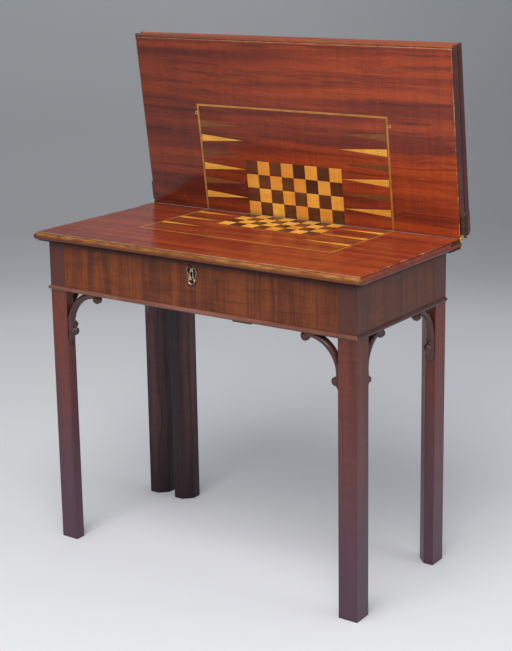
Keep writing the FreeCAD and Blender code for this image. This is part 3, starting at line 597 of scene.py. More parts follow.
# %% Mahogany, oak and pine
lid_polish = dict(shine=0.05, coat=0.02)
woods = {
    "middle_leaf": wood("mahogany_middle_leaf", **raised_red, offset=(0.7, 0.31, 1.9),
                        rim=dict(**raised_rim, line=0.7), shades=(raised_left_shade,)),
    "top_leaf": wood("mahogany_top_leaf", **raised_red, offset=(1.9, 2.13, 0.4),
                     rim=dict(**raised_rim, line=0.0)),
    "lower_leaf": wood("mahogany_lower_leaf", **leaf_red, **lid_polish, rim=flat_rim, shades=(flat_left_shade,)),
    "frieze": wood("mahogany_frieze", **frieze_brown, shades=(under_lid_shadow,)),
    "side_frieze": wood("mahogany_side_frieze", **side_brown, offset=(0.4, 0.8, 0.3), shades=(under_lid_shadow,)),
    "bead": wood("mahogany_bead", **dict(highlit_bead_brown, along="X"), offset=(0.2, 0.5, 0.9)),
    "side_bead": wood("mahogany_side_bead", **dict(bracket_brown, along="Y"), offset=(0.5, 0.1, 0.3)),
    "leg": wood("mahogany_leg", **leg_brown, shades=(leg_foot_reflection, leg_head, under_lid_shadow)),
    "rear_leg": wood("mahogany_rear_leg_shaded", **rear_brown_shaded, offset=(0.6, 0.2, 0.8), shades=(rear_foot_shade,)),
    "bracket": wood("mahogany_bracket", **bracket_brown, shine=0.45, offset=(0.3, 0.6, 0.1), edge=0.8 * MM),
    "oak": wood("oak_carcase", **oak),
    "pine": wood("pine_blocks", **pine),
}
print("plain woods:", len(woods))

# %% [markdown]
# ## The inlaid board
# Squares, points and stringing are thin veneers let into the leaves. They could be painted on as a pattern.
# The solids have each kind of veneer as a piece of its own, so each simply gets its wood.

# %% Inlaid woods
inlaid = dict(streaks=0.2, flame=0.25, roughness=0.18, wear=0.0)
inlay_tones = {
    "stringing": ((196, 136, 70), (170, 110, 54), (112, 66, 34)),
    "light_squares": ((254, 200, 88), (250, 172, 66), (212, 122, 44)),
    "dark_squares": ((122, 72, 44), (100, 57, 35), (64, 36, 26)),
    "light_points": ((246, 186, 78), (232, 160, 58), (182, 108, 40)),
    "dark_points": ((134, 82, 42), (112, 64, 34), (74, 42, 26)),
}
other_tones = {"light_squares": (224, 128, 48), "dark_squares": (62, 32, 26)}
boards = {"lower": (flat_leaf, lid_polish), "middle": (raised_leaf, {})}
for inlay, tones in inlay_tones.items():
    for board, (leaf, polish) in boards.items():
        varied = dict(leaf=leaf, other=other_tones[inlay]) if inlay in other_tones else None
        inlay_name = board + "_" + inlay
        woods[inlay_name] = wood(inlay_name, tones, **inlaid, **polish, squares=varied)
print("woods with the inlays:", len(woods))

# %% [markdown]
# ## Brass and iron
# Hinges, eyelets and lock plate are old brass, brown where nothing rubs it and brighter at edges and
# knuckles; round a hinge's knuckle the brightness is rubbing and a painted glint. Bolt and gate pin are dark
# iron.
# Clean metal would look new, so a spotted patina lies under the same wear, and the same dark corners of dirt
# and painted shade, that the wood has.

# %% Metal material
spot_cells = (220.0, 220.0, 220.0)
metal_dirt = (40, 30, 20)
metal_smears = 0.25
knuckle_rub_and_glint = (222, 194, 104)
knuckle_rim, knuckle_middle = 11 * MM, 6 * MM
patina_relief = dict(strength=0.15, depth=0.3 * MM)


def make_patina():
    tree, given, result = new_group(
        "patina", {"Vector": "Position", "Color": "Bright Dull"}, {"Color": "Color", "Float": "Height"})
    spots = ramp(noise(given["Position"], spot_cells, 5.0, 0.65), 0.35, 0.68)
    send(result, {"Color": tint(spots, given["Bright"], given["Dull"]), "Height": spots})
    return tree


patina_group = make_patina()


def metal(name, bright, dull, roughness, edge=0.6 * MM, knuckle=None):
    """Old metal, brighter on its edges and, at a hinge, round its knuckle, where rubbing and a painted glint
    brighten it.
    """
    material, surface, place = new_material(name)
    rub = use_group(wear_group, place, Radius=edge, Amount=1.0)
    polish = use_group(polish_group, place, Roughness=roughness, Spread=metal_smears)
    patina = use_group(patina_group, place, Bright=colour(bright), Dull=colour(dull))
    shown = tint(rub["Wear"], patina["Color"], colour(bright))
    shown = tint(polish["Grime"], shown, colour(metal_dirt))
    if knuckle:
        across = vectors("MULTIPLY", vectors("SUBTRACT", place, knuckle), (0.0, 1.0, 1.0))
        far = put("ShaderNodeVectorMath", {0: across}, operation="LENGTH").outputs["Value"]
        shown = tint(ramp(far, knuckle_rim, knuckle_middle), shown, colour(knuckle_rub_and_glint))
    dress(surface, shown, polish, rub, patina["Height"], **patina_relief)
    surface["Metallic"].default_value = 1.0
    return material


brass = metal("old_brass", (196, 160, 98), (122, 94, 52), 0.38)
dull_brass = metal("dull_brass", (104, 70, 48), (54, 36, 30), 0.46, knuckle=leaf_hinge)
pale_brass = metal("rubbed_brass", (226, 204, 168), (112, 92, 68), 0.30)
eyelet_brass = metal("eyelet_brass", (250, 222, 160), (190, 146, 84), 0.5)
iron = metal("dark_iron", (96, 90, 86), (52, 46, 44), 0.5)
print("metals: 5, patina group:", len(patina_group.nodes), "nodes")

# %% [markdown]
# ## Finishes onto the solids
# Rails, legs, beads, leaves, inlays and hinge plates are right in shape. They could be modelled again with
# finer edges, but the wear group rounds edges in the light, so each only gets a material.

# %% Give each solid its finish
finishes = [
    (woods["frieze"], ("front_rail",)),
    (woods["side_frieze"], ("left_rail", "right_rail")),
    (woods["bead"], ("front_bead",)),
    (woods["side_bead"], ("left_bead", "right_bead")),
    (woods["leg"], ("leg_front_left", "leg_front_right", "leg_rear_right")),
    (woods["rear_leg"], ("leg_rear_left", "gate_leg")),
    (woods["oak"], ("rear_rail", "fixed_back_rail", "hinge_rail", "gate_rail", "well_floor")),
    (woods["pine"], ("glue_blocks",)),
    (brass, ("lid_hinge_fixed_leaves", "lid_hinge_moving_leaves", "lock_case", "link_plate")),
    (dull_brass, ("lower_leaf_hinge_plates", "middle_leaf_lower_plates", "middle_leaf_upper_plates",
                  "top_leaf_hinge_plates")),
    (iron, ("gate_pin", "lock_bolt")),
]
own_woods = ["lower_leaf", "middle_leaf", "top_leaf"]
own_woods += [board + "_" + inlay for board in boards for inlay in inlay_tones]
finishes += [(woods[name], (name,)) for name in own_woods]
for material, node_names in finishes:
    for node_name in node_names:
        node_materials = frame["nodes"][node_name].data.materials
        node_materials.clear()
        node_materials.append(material)
print("solids finished:", sum(len(node_names) for _, node_names in finishes))

# %% [markdown]
# ## Carving from an outline
# The brackets and the lock plate are flat pieces with a carved face. They could be sculpted. It is easier to
# start from the outline: points inside it are joined into triangles, and a rule raises each by its distance
# from the edge. The same triangles make the back, and strips close the sides.

# %% Outlines
def arc_points(a, b, c, steps):
    """Points on the circle through three points, from the first towards the last, without the last."""
    (ax, ay), (bx, by), (cx, cy) = a, b, c
    turn = 2 * (ax * (by - cy) + bx * (cy - ay) + cx * (ay - by))
    square = [x * x + y * y for x, y in (a, b, c)]
    mx = (square[0] * (by - cy) + square[1] * (cy - ay) + square[2] * (ay - by)) / turn
    my = (square[0] * (cx - bx) + square[1] * (ax - cx) + square[2] * (bx - ax)) / turn
    radius = math.hypot(ax - mx, ay - my)
    start, middle, end = (math.atan2(y - my, x - mx) for x, y in (a, b, c))
    span = (end - start) % math.tau
    if (middle - start) % math.tau > span:
        span -= math.tau
    angles = [start + span * step / steps for step in range(steps)]
    return [(mx + radius * math.cos(angle), my + radius * math.sin(angle)) for angle in angles]


def smooth_loop(corners, steps=5):
    """Closed curve that runs smoothly through the corners."""
    count = len(corners)
    loop = []
    for index in range(count):
        p0, p1, p2, p3 = (np.array(corners[(index + k - 1) % count], float) for k in range(4))
        for step in range(steps):
            t = step / steps
            loop.append(tuple(0.5 * (2 * p1 + (p2 - p0) * t + (2 * p0 - 5 * p1 + 4 * p2 - p3) * t ** 2
                                     + (3 * p1 - p0 - 3 * p2 + p3) * t ** 3)))
    return loop


print("outline helpers ready")

# %% Inside an outline
def inside(points, loops):
    """Which points lie inside the first loop and outside the others."""
    hit = np.zeros(len(points), bool)
    for loop in loops:
        x1, y1 = np.array(loop).T
        x2, y2 = np.roll(x1, -1), np.roll(y1, -1)
        px, py = points[:, :1], points[:, 1:]
        crosses = (y1 > py) != (y2 > py)
        with np.errstate(divide="ignore", invalid="ignore"):
            at_x = x1 + (py - y1) * (x2 - x1) / (y2 - y1)
        hit ^= (np.sum(crosses & (px < at_x), axis=1) % 2).astype(bool)
    return hit


def every_edge(middle):
    return True


def edge_distance(points, loops, counted):
    """Distance of each point from the nearest edge, leaving out edges where counted(middle) is false."""
    best = np.full(len(points), 1e9)
    for loop in loops:
        corners = np.array(loop)
        for a, b in zip(corners, np.roll(corners, -1, axis=0)):
            if counted((a + b) / 2):
                step = b - a
                share = np.clip((points - a) @ step / max(step @ step, 1e-12), 0, 1)
                best = np.minimum(best, np.linalg.norm(points - a - share[:, None] * step, axis=1))
    return best


print("distance helpers ready")

# %% Carved mesh
clear_share = 0.45


def carve(loops, spacing, front, back, counted=every_edge):
    """Points (across, depth, along) and faces of a carved piece; front and back give depths by point."""
    rim = np.array([point for loop in loops for point in loop])
    links = []
    first = 0
    for loop in loops:
        links += [(first + k, first + (k + 1) % len(loop)) for k in range(len(loop))]
        first += len(loop)
    low, high = rim.min(0), rim.max(0)
    grid = np.stack(np.meshgrid(np.arange(low[0], high[0], spacing),
                                np.arange(low[1], high[1], spacing)), -1).reshape(-1, 2)
    grid = grid[inside(grid, loops) & (edge_distance(grid, loops, every_edge) > clear_share * spacing)]
    flat = np.concatenate([rim, grid])
    vertices, _, triangles, *_ = delaunay_2d_cdt([Vector(p) for p in flat], links, [], 0, 1e-6)
    flat = np.array([tuple(v) for v in vertices])
    triangles = np.array([t for t in triangles if len(t) == 3])
    triangles = triangles[inside(flat[triangles].mean(1), loops)]
    far = edge_distance(flat, loops, counted)
    count = len(flat)
    points = [(p[0], front(p, d), p[1]) for p, d in zip(flat, far)]
    points += [(p[0], back(p, d), p[1]) for p, d in zip(flat, far)]
    faces = [tuple(t) for t in triangles] + [tuple(int(k) + count for k in t[::-1]) for t in triangles]
    faces += [(a, b, b + count, a + count) for a, b in links]
    return points, faces


def new_piece(name, points, faces, material, body):
    """Mesh object from points in the table's frame, riding on a body."""
    mesh = bpy.data.meshes.new(name)
    mesh.from_pydata([tuple(p) for p in points], [], [tuple(int(k) for k in f) for f in faces])
    work = bmesh.new()
    work.from_mesh(mesh)
    bmesh.ops.recalc_face_normals(work, faces=work.faces)
    work.to_mesh(mesh)
    work.free()
    mesh.polygons.foreach_set("use_smooth", [True] * len(mesh.polygons))
    mesh.materials.append(material)
    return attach(add_object(name, mesh), body)


def add_carved(name, carved, corner, along, inward, material):
    """Carved piece set on the table's frame, from a corner along a face and inward."""
    points, faces = carved
    placed = [corner + along * (u * MM) + inward * (w * MM) + upward * (v * MM) for u, w, v in points]
    return new_piece(name, placed, faces, material, "table_frame")


print("carving helpers ready")

# %% [markdown]
# ## Scrolled brackets
# Six brackets fill the corners of legs and frieze. Each is a bar bent like a C that ends in two volutes, with
# a tail that runs out on the leg. A bent tube would give the bar but not the volutes. So the outline repeats
# the solid's own arcs, the faces are rounded towards free edges, and a spiral groove and a raised eye make
# the volutes.

# %% Bracket outline
hollow_radius = 65.0
hollow_rise = 10.0
bar_width = 13.5
stem_width = 9.0
tail_length = 33.0
tail_bend = (0.36, 0.45)
upper_radius = 9.7
upper_offset = 6.0
lower_radius = 9.2
lower_offset = 1.5
lower_gap = 16.0


def bracket_outline(reach):
    """Outline and volutes' middles: millimetres from the leg, and below the rail as negative heights."""
    hollow_v = hollow_radius + hollow_rise
    lobe_u = reach - upper_radius
    squeeze = (lobe_u - upper_offset) / hollow_v
    ring = hollow_radius + bar_width
    quarter = math.sqrt(0.5)
    ring_start = hollow_v - math.sqrt(ring ** 2 - hollow_v ** 2)
    ring_mid = hollow_v - quarter * ring
    hollow_mid = hollow_v - quarter * hollow_radius
    low_u = stem_width + lower_offset
    low_v = hollow_v + lower_gap
    lobe_half = math.sqrt(lower_radius ** 2 - lower_offset ** 2)
    tail_v = low_v + lobe_half
    drop = low_v + tail_length
    rail_start = (squeeze * ring_start, 0)
    bottom = (lobe_u, -2 * upper_radius)
    lobe_end = (lobe_u - upper_radius, -upper_radius)
    hollow_end = (stem_width, -hollow_v)
    low_end = (stem_width, -tail_v)
    tip = (0, -drop)
    turn = (lobe_u - quarter * upper_radius, -upper_radius - quarter * upper_radius)
    bend = (stem_width * tail_bend[0], -(tail_v + tail_bend[1] * (drop - tail_v)))
    loop = [rail_start]
    loop += arc_points((lobe_u, 0), (reach, -upper_radius), bottom, 18)
    loop += arc_points(bottom, turn, lobe_end, 9)
    loop += arc_points(lobe_end, (squeeze * hollow_mid, -hollow_mid), hollow_end, 26)
    loop += [hollow_end]
    loop += arc_points((stem_width, -(low_v - lobe_half)), (low_u + lower_radius, -low_v), low_end, 20)
    loop += arc_points(low_end, bend, tip, 10)
    loop += [tip]
    loop += arc_points((0, -ring_start), (squeeze * ring_mid, -ring_mid), rail_start, 26)
    return loop, (lobe_u, -upper_radius), (low_u, -low_v)


print("bracket outline:", len(bracket_outline(100.0)[0]), "points")

# %% Volutes
volute_turns = 1.6
volute_closing = 0.72
groove_depth = 2.6
groove_width = 1.0
eye_radius = 2.6
eye_rise = 1.5
upper_start = math.radians(150)
lower_start = math.radians(120)


def volute_relief(point, centre, radius, start, hand):
    """Depth cut into the face near a volute: a spiral groove, with the eye left standing."""
    across, along = point[0] - centre[0], point[1] - centre[1]
    distance = math.hypot(across, along)
    if distance > radius:
        return 0.0
    angle = (hand * (math.atan2(along, across) - start)) % math.tau / math.tau
    cut = 0.0
    for lap in range(2):
        share = angle + lap
        if share < volute_turns:
            line = radius * (1 - share / volute_turns * volute_closing)
            cut = max(cut, math.exp(-((distance - line) / groove_width) ** 2))
    dome = max(0.0, 1 - (distance / eye_radius) ** 2)
    return groove_depth * cut - eye_rise * dome


print("depth at a volute's eye:", volute_relief((0, 0), (0, 0), upper_radius, upper_start, 1))

# %% Brackets
rounding = 6.0
bracket_spacing = 1.1


def free_edge(middle):
    """Whether an edge of a bracket lies neither against the leg nor against the rail."""
    return middle[0] > 0.05 and middle[1] < -0.05


def make_bracket(node, along, inward):
    """Bracket in a node's place: along runs from the leg under the rail, inward from the outer face."""
    low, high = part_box(node)
    corner = Vector([low[k] if along[k] + inward[k] > 0 else high[k] for k in range(3)])
    corner.z = high.z
    reach = abs((high - low) @ along) / MM
    thick = abs((high - low) @ inward) / MM
    loop, upper, lower = bracket_outline(reach)

    def sink(point, distance):
        inset = rounding * (1 - math.sin(math.pi / 2 * min(distance / rounding, 1.0)))
        relief = (volute_relief(point, upper, upper_radius, upper_start, 1)
                  + volute_relief(point, lower, lower_radius, lower_start, -1))
        return max(0.0, inset + relief)

    carved = carve([loop], bracket_spacing, sink, lambda p, d: thick - sink(p, d), free_edge)
    piece = add_carved("carved_" + node, carved, corner, along, inward, woods["bracket"])
    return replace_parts(piece, node)


left_way, front_way = -right_way, -back_way
bracket_places = {
    "bracket_front_left": (right_way, back_way),
    "bracket_front_right": (left_way, back_way),
    "bracket_left_front": (back_way, right_way),
    "bracket_left_rear": (front_way, right_way),
    "bracket_right_front": (back_way, left_way),
    "bracket_right_rear": (front_way, left_way),
}
for node_name, (along_way, inward_way) in bracket_places.items():
    bracket = make_bracket(node_name, along_way, inward_way)
    print(bracket.name, len(bracket.data.vertices), "points")

# %% [markdown]
# ## Pierced lock plate
# The brass plate round the keyhole is a small lopsided cartouche of C scrolls and leaves. It could be a bump
# on a flat plate, but then nothing would be pierced. So it is carved with the same helpers, from smooth
# curves through a few points, in millimetres from the keyhole's middle.

# %% Lock plate outlines
plate_outline = smooth_loop([
    (0.8, 12.0), (-3.6, 14.3), (-9.0, 13.4), (-12.4, 8.6), (-12.6, 2.6), (-9.0, -3.0), (-10.4, -6.4),
    (-11.8, -10.6), (-8.2, -13.4), (-9.2, -17.6), (-7.2, -22.2), (-1.6, -24.8), (4.8, -23.0), (8.8, -17.6),
    (11.2, -13.6), (8.2, -11.8), (11.4, -7.0), (13.0, 0.6), (12.4, 8.2), (8.8, 13.0), (4.6, 12.6)])
left_loop = smooth_loop([
    (-3.6, 12.2), (-8.2, 11.4), (-10.7, 7.0), (-10.2, 2.4), (-7.0, -1.2), (-4.2, 4.6)])
right_slit = smooth_loop([
    (4.8, 10.8), (8.2, 10.8), (11.1, 4.0), (10.2, -4.6), (6.6, -10.0), (5.4, -6.0), (5.6, -1.0), (4.8, 4.6)])
lower_ring = smooth_loop([
    (0.2, -14.2), (-5.0, -15.6), (-5.6, -19.4), (-0.8, -22.4), (4.8, -20.0), (5.4, -15.6)])
waist_slit = smooth_loop([(0.4, -10.0), (4.6, -11.0), (3.6, -12.8), (-1.4, -12.6)])
keyhole = smooth_loop([
    (0.0, 3.4), (-2.2, 1.8), (-2.2, -0.8), (-1.6, -2.6), (-1.7, -7.0), (1.7, -7.0), (1.6, -2.6), (2.2, -0.8),
    (2.2, 1.8)], 3)
plate_loops = [plate_outline, left_loop, right_slit, lower_ring, waist_slit, keyhole]
print("lock plate outlines:", sum(len(loop) for loop in plate_loops), "points")

# %% Lock plate
plate_relief = 2.0
plate_edge = 0.4
strip_half = 1.7
plate_knob = dict(rise=1.4, middle=(1.4, 6.6), spread=5.0)
plate_leaf = dict(rise=1.1, middle=(-6.2, -9.6), spread=9.0)
plate_spacing = 0.55
keyhole_height = 665.0 * MM
frieze_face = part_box("escutcheon")[1].y
keyhole_middle = Vector((0, frieze_face, keyhole_height))


def swelling(point, rise, middle, spread):
    return rise * math.exp(-((point[0] - middle[0]) ** 2 + (point[1] - middle[1]) ** 2) / spread)


def plate_height(point, distance):
    """Raised round every strip, with a knob above the keyhole and a leaf at the lower left."""
    strip = plate_edge + plate_relief * math.sin(math.pi / 2 * min(distance / strip_half, 1.0))
    return -(strip + swelling(point, **plate_knob) + swelling(point, **plate_leaf))


carved_plate = carve(plate_loops, plate_spacing, plate_height, lambda p, d: 0.0)
lock_plate = add_carved("pierced_lock_plate", carved_plate, keyhole_middle, right_way, back_way, pale_brass)
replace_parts(lock_plate, "escutcheon")
print("lock plate:", len(lock_plate.data.vertices), "points")

# %% [markdown]
# ## Dirt and shadow behind the lock plate
# Polish and dust have built up behind the plate, and it casts a shadow, so its piercings and a thin rim round
# it look almost black. The frieze could be darkened there in its material. A thin dark sheet that follows the
# plate's own outline, a little larger and set a little right and down, is dirt and painted shadow at once and
# needs no mask.

# %% Lock plate dirt and shadow
dark_sheet_widths = (1.1, 1.06)
dark_sheet_offset = (0.4, -0.5)
dark_sheet_front = -0.12
dark_sheet_back = -0.02
dark_sheet_spacing = 2.0
# Dark sheet: dirt behind the plate and the plate's painted shadow.
dirt_and_shadow_wood = wood("dirt_and_shadow_behind_plate", tones=((40, 26, 20), (30, 19, 15), (18, 12, 10)),
                   roughness=0.6, wear=0.0)
dark_sheet_outline = [(dark_sheet_widths[0] * x + dark_sheet_offset[0], dark_sheet_widths[1] * y + dark_sheet_offset[1])
                for x, y in plate_outline]
sheet = carve([dark_sheet_outline, keyhole], dark_sheet_spacing, lambda p, d: dark_sheet_front, lambda p, d: dark_sheet_back)
plate_dirt_and_shadow = add_carved("lock_plate_dirt_and_shadow", sheet, keyhole_middle, right_way, back_way, dirt_and_shadow_wood)
print("dirt sheet:", len(plate_dirt_and_shadow.data.vertices), "points")

# %% [markdown]
# ## Turned fittings
# Screws, pin heads and eyelets are turned on a lathe. A squeezed sphere would do from far away. A short
# profile turned round an axis gives the true dome and rim, and a screw's slot is pressed into close rings.

# %% Turned shapes
def turned(profile, steps, ring=False):
    """Closed mesh of a profile of (radius, height) turned round the height axis, capped or as a ring."""
    points, faces = [], []
    rows = len(profile)
    for radius, height in profile:
        points += [(radius * math.cos(math.tau * k / steps), radius * math.sin(math.tau * k / steps), height)
                   for k in range(steps)]
    for row in range(rows if ring else rows - 1):
        this, other = row * steps, (row + 1) % rows * steps
        faces += [(this + k, other + k, other + (k + 1) % steps, this + (k + 1) % steps)
                  for k in range(steps)]
    if not ring:
        faces.append(tuple(range(steps)))
        faces.append(tuple(range(len(points) - 1, len(points) - 1 - steps, -1)))
    return points, faces


def facing(spot, normal, spin=0.0):
    """Move to a spot, with the height axis turned to a normal."""
    turn = Vector(normal).to_track_quat("Z", "Y").to_matrix().to_4x4() @ Matrix.Rotation(spin, 4, "Z")
    return Matrix.Translation(spot) @ turn


def add_turned(name, shape, moves, material, body):
    """One brass piece made of the same turned shape at several places."""
    shape_points, shape_faces = shape
    points, faces = [], []
    for move in moves:
        faces += [tuple(k + len(points) for k in face) for face in shape_faces]
        points += [move @ Vector(p) for p in shape_points]
    piece = new_piece(name, points, faces, material, body)
    return piece


print("turned helpers ready")

# %% Screws
head_radius = 2.3 * MM
head_rise = 0.25 * MM
head_fall = 0.5
head_rings = 9
head_sides = 28
slot_half = 0.28 * MM
slot_depth = 0.22 * MM
bury = 0.1 * MM
screw_turn = 0.7


def screw_head(rise):
    """Slotted head: rings close enough that those over the slot can be pressed down."""
    profile = [(head_radius * ring / head_rings, rise * (1 - head_fall * (ring / head_rings) ** 2))
               for ring in range(1, head_rings + 1)]
    points, faces = turned(profile + [(head_radius, -bury)], head_sides)
    return [(x, y, z - slot_depth * (abs(y) < slot_half)) for x, y, z in points], faces


def add_screws(name, places, normal, body, rise=head_rise, material=brass):
    moves = [facing(spot, normal, screw_turn * index) for index, spot in enumerate(places)]
    return add_turned(name, screw_head(rise), moves, material, body)


print("screw head:", len(screw_head(head_rise)[0]), "points")

# %% [markdown]
# ## Screws and pins of the leaf hinges
# Three screws hold each plate of the end hinges, and a pin runs through each knuckle. Their places could be
# measured on the raised leaf. They are simpler on the closed one, where everything is square, so they are
# set there and then turned up with it.

# %% Leaf hinge screws and pins
raise_leaf = (Matrix.Translation(leaf_hinge) @ Matrix.Rotation(-leaf_opening, 4, "X")
              @ Matrix.Translation(-leaf_hinge))
leaf_step = 20.3 * MM
plate_middle = 4.45 * MM
plate_face_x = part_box("lower_leaf_hinge_plates")[1].x
screw_steps = (12 * MM, 24 * MM, 37 * MM)
sides = ((-1, "left"), (1, "right"))
hinge_rows = {
    "lower_leaf_screws": (-plate_middle, False, "lid"),
    "middle_leaf_lower_screws": (plate_middle, True, "middle_flap"),
    "middle_leaf_upper_screws": (leaf_step - plate_middle, True, "middle_flap"),
    "top_leaf_screws": (leaf_step + plate_middle, True, "top_flap"),
}
for row_name, (rise, lifted, body) in hinge_rows.items():
    for side, side_name in sides:
        lift = raise_leaf if lifted else Matrix()
        screws = [lift @ (leaf_hinge + Vector((side * plate_face_x, -step, rise))) for step in screw_steps]
        add_screws(row_name + "_" + side_name, screws, (side, 0, 0), body, material=dull_brass)

pin_profile = [(0.5 * MM, 0.45 * MM), (1.6 * MM, 0.38 * MM), (2.4 * MM, 0.15 * MM), (2.6 * MM, -bury)]
pin_sides = 20
pin_head = turned(pin_profile, pin_sides)
for pin_name, rise, body in (("lower", 0.0, "lid"), ("upper", leaf_step, "middle_flap")):
    pin_moves = [facing(raise_leaf @ (leaf_hinge + Vector((side * plate_face_x, 0, rise))), (side, 0, 0))
                 for side, _ in sides]
    add_turned(pin_name + "_hinge_pin_heads", pin_head, pin_moves, brass, body)
print("leaf hinge screws:", 2 * len(hinge_rows) * len(screw_steps), "and 4 pin heads")

# %% [markdown]
# ## Painted highlight on the arris at the fold
# Where the leaves meet, the sharp edge of the lid catches the light in a pale line, and this highlight is
# painted.
# A mask could paint it, but the inlays cross it with materials of their own. A strip a tenth of a millimetre
# high lies over all and carries it.

# %% Arris highlight
arris_width = 1.3 * MM
arris_profile = ((1.0, -0.05 * MM), (0.8, 0.1 * MM), (0.3, 0.1 * MM), (0.0, -0.05 * MM))
arris_inset = 9 * MM
arris_stations = 60
arris_back = leaf_hinge.y - 0.3 * MM
lid_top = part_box("lower_light_squares")[1].z
arris_line = [(arris_back - share * arris_width, lid_top + rise) for share, rise in arris_profile]
arris_ends = (leaf_low.x + arris_inset, leaf_high.x - arris_inset)
arris_points = [Vector((x, y, z)) for x in np.linspace(*arris_ends, arris_stations) for y, z in arris_line]
arris_faces = [(4 * k + j, 4 * k + (j + 1) % 4, 4 * k + 4 + (j + 1) % 4, 4 * k + 4 + j)
               for k in range(arris_stations - 1) for j in range(4)]
arris_last = 4 * (arris_stations - 1)
arris_faces += [(3, 2, 1, 0), tuple(range(arris_last, arris_last + 4))]
# Pale tones of the painted highlight on the lid's edge.
arris_highlight_wood = wood("arris_highlight", tones=((206, 196, 190), (186, 168, 160), (120, 84, 70)),
                  roughness=0.3, wear=0.0)
arris = new_piece("arris_highlight", arris_points, arris_faces, arris_highlight_wood, "lid")
print("arris", round((arris_ends[1] - arris_ends[0]) / MM), "mm long")

# %% [markdown]
# ## Screws of the butt hinges and the lock
# Two butt hinges carry the lid, and a box lock closes it. They show only when the lid is up, and their
# screws could be left out, but a raised lid would look unfinished. They lie nearly flush, because the closed
# lid leaves no room for more.

# %% Butt screws and lock screws
butt_middle = 230 * MM
butt_steps = (-22 * MM, 0, 22 * MM)
butt_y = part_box("lid_hinge_fixed_leaves")[0].y + 9 * MM
rail_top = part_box("hinge_rail")[1].z
leaf_under = leaf_low.z
thin_rise = 0.1 * MM
for side, side_name in sides:
    across = [side * butt_middle + step for step in butt_steps]
    add_screws("fixed_butt_screws_" + side_name, [Vector((x, butt_y, rail_top)) for x in across], (0, 0, 1),
               "table_frame", thin_rise)
    add_screws("moving_butt_screws_" + side_name, [Vector((x, butt_y, leaf_under)) for x in across],
               (0, 0, -1), "lid", thin_rise)

case_inset = 5 * MM
case_low, case_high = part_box("lock_case")
case_corners = [Vector((x, case_high.y, z)) for x in (case_low.x + case_inset, case_high.x - case_inset)
                for z in (case_low.z + case_inset, case_high.z - case_inset)]
add_screws("lock_case_screws", case_corners, (0, 1, 0), "table_frame")
link_inset = 4 * MM
link_low, link_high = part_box("link_plate")
link_ends = [Vector((x, (link_low.y + link_high.y) / 2, leaf_under))
             for x in (link_low.x + link_inset, link_high.x - link_inset)]
add_screws("link_plate_screws", link_ends, (0, 0, -1), "lid", thin_rise)
print("butt screws: 12, lock screws:", len(case_corners + link_ends))

# %% [markdown]
# ## Eyelets and plate pins
# Two brass eyelets sit at the upper corners of the board, and four pins hold the lock plate. A ring from the
# mesh menu would stand too proud. A turned profile lies almost flush, so that the board can close.

# %% Eyelets and plate pins
eyelet_hole = 2.0 * MM
eyelet_radius = 4.5 * MM
eyelet_sides = 32
eyelet_profile = [(eyelet_hole, -1.1 * MM), (eyelet_hole, -0.4 * MM), (2.4 * MM, 0.02 * MM),
                  (3.2 * MM, 0.18 * MM), (4.0 * MM, 0.02 * MM), (eyelet_radius, -0.4 * MM),
                  (eyelet_radius, -1.1 * MM)]
eyelet_side = 255 * MM
eyelet_from_hinge = Vector((0, -231 * MM, 0.15 * MM))
leaf_normal = raise_leaf.to_3x3() @ Vector((0, 0, -1))
eyelet_moves = [facing(raise_leaf @ (leaf_hinge + right_way * (side * eyelet_side) + eyelet_from_hinge),
                       leaf_normal) for side, _ in sides]
eyelet = turned(eyelet_profile, eyelet_sides, ring=True)
eyelets = add_turned("turned_eyelets", eyelet, eyelet_moves, eyelet_brass, "middle_flap")
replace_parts(eyelets, "board_eyelets")

plate_pin_profile = [(0.25 * MM, 1.0 * MM), (0.7 * MM, 0.8 * MM), (1.0 * MM, 0.3 * MM), (1.0 * MM, -0.2 * MM)]
plate_pin_sides = 16
plate_pin = turned(plate_pin_profile, plate_pin_sides)
pin_spots = [(-9.6 * MM, 12.0 * MM), (11.4 * MM, 5.0 * MM), (-6.0 * MM, -21.6 * MM), (6.6 * MM, -20.2 * MM)]
pin_lift = -2.4 * MM
plate_pin_moves = [facing(keyhole_middle + Vector((across, pin_lift, along)), (0, -1, 0))
                   for across, along in pin_spots]
add_turned("lock_plate_pins", plate_pin, plate_pin_moves, pale_brass, "table_frame")
print("eyelets:", len(eyelet_moves), "plate pins:", len(pin_spots))

# %% [markdown]
# ## Paper sweep
# The table stands on a sheet of paper that curves up behind it. A flat floor and a wall would meet in a
# line, which the picture doesn't have. The sheet's back is clear, so that the table can also be looked at
# from behind.

# %% Paper sheet
near_end = -3.6
bend_start = 2.6
bend_radius = 1.6
wall_top = 4.2
half_paper = 5.0
flat_strips = 12
bend_strips = 14
sweep = [(near_end + (bend_start - near_end) * k / flat_strips, 0.0) for k in range(flat_strips + 1)]
for k in range(1, bend_strips + 1):
    bend = math.pi / 2 * k / bend_strips
    sweep.append((bend_start + bend_radius * math.sin(bend), bend_radius * (1 - math.cos(bend))))
sweep.append((bend_start + bend_radius, wall_top))
paper_points = [flat_right * side + flat_away * away + Vector((0, frame_middle_y, rise))
                for away, rise in sweep for side in (-half_paper, half_paper)]
paper_faces = [(2 * k, 2 * k + 1, 2 * k + 3, 2 * k + 2) for k in range(len(sweep) - 1)]
paper_mesh = bpy.data.meshes.new("paper_sweep")
paper_mesh.from_pydata([tuple(p) for p in paper_points], [], paper_faces)
paper_mesh.polygons.foreach_set("use_smooth", [True] * len(paper_faces))
paper = add_object("paper_sweep", paper_mesh)
print("paper sweep:", len(paper_faces), "strips")

# %% [markdown]
# ## The paper's tone
# In the picture the floor is nearly white in front and the wall grey, darker at the right. Lamps alone could
# make this, but then they would also have to suit the wood. So this shade is painted: the paper's own colour
# changes along it and darkens to the right.

# %% Paper material
paper_start, paper_end = -0.6, 6.0
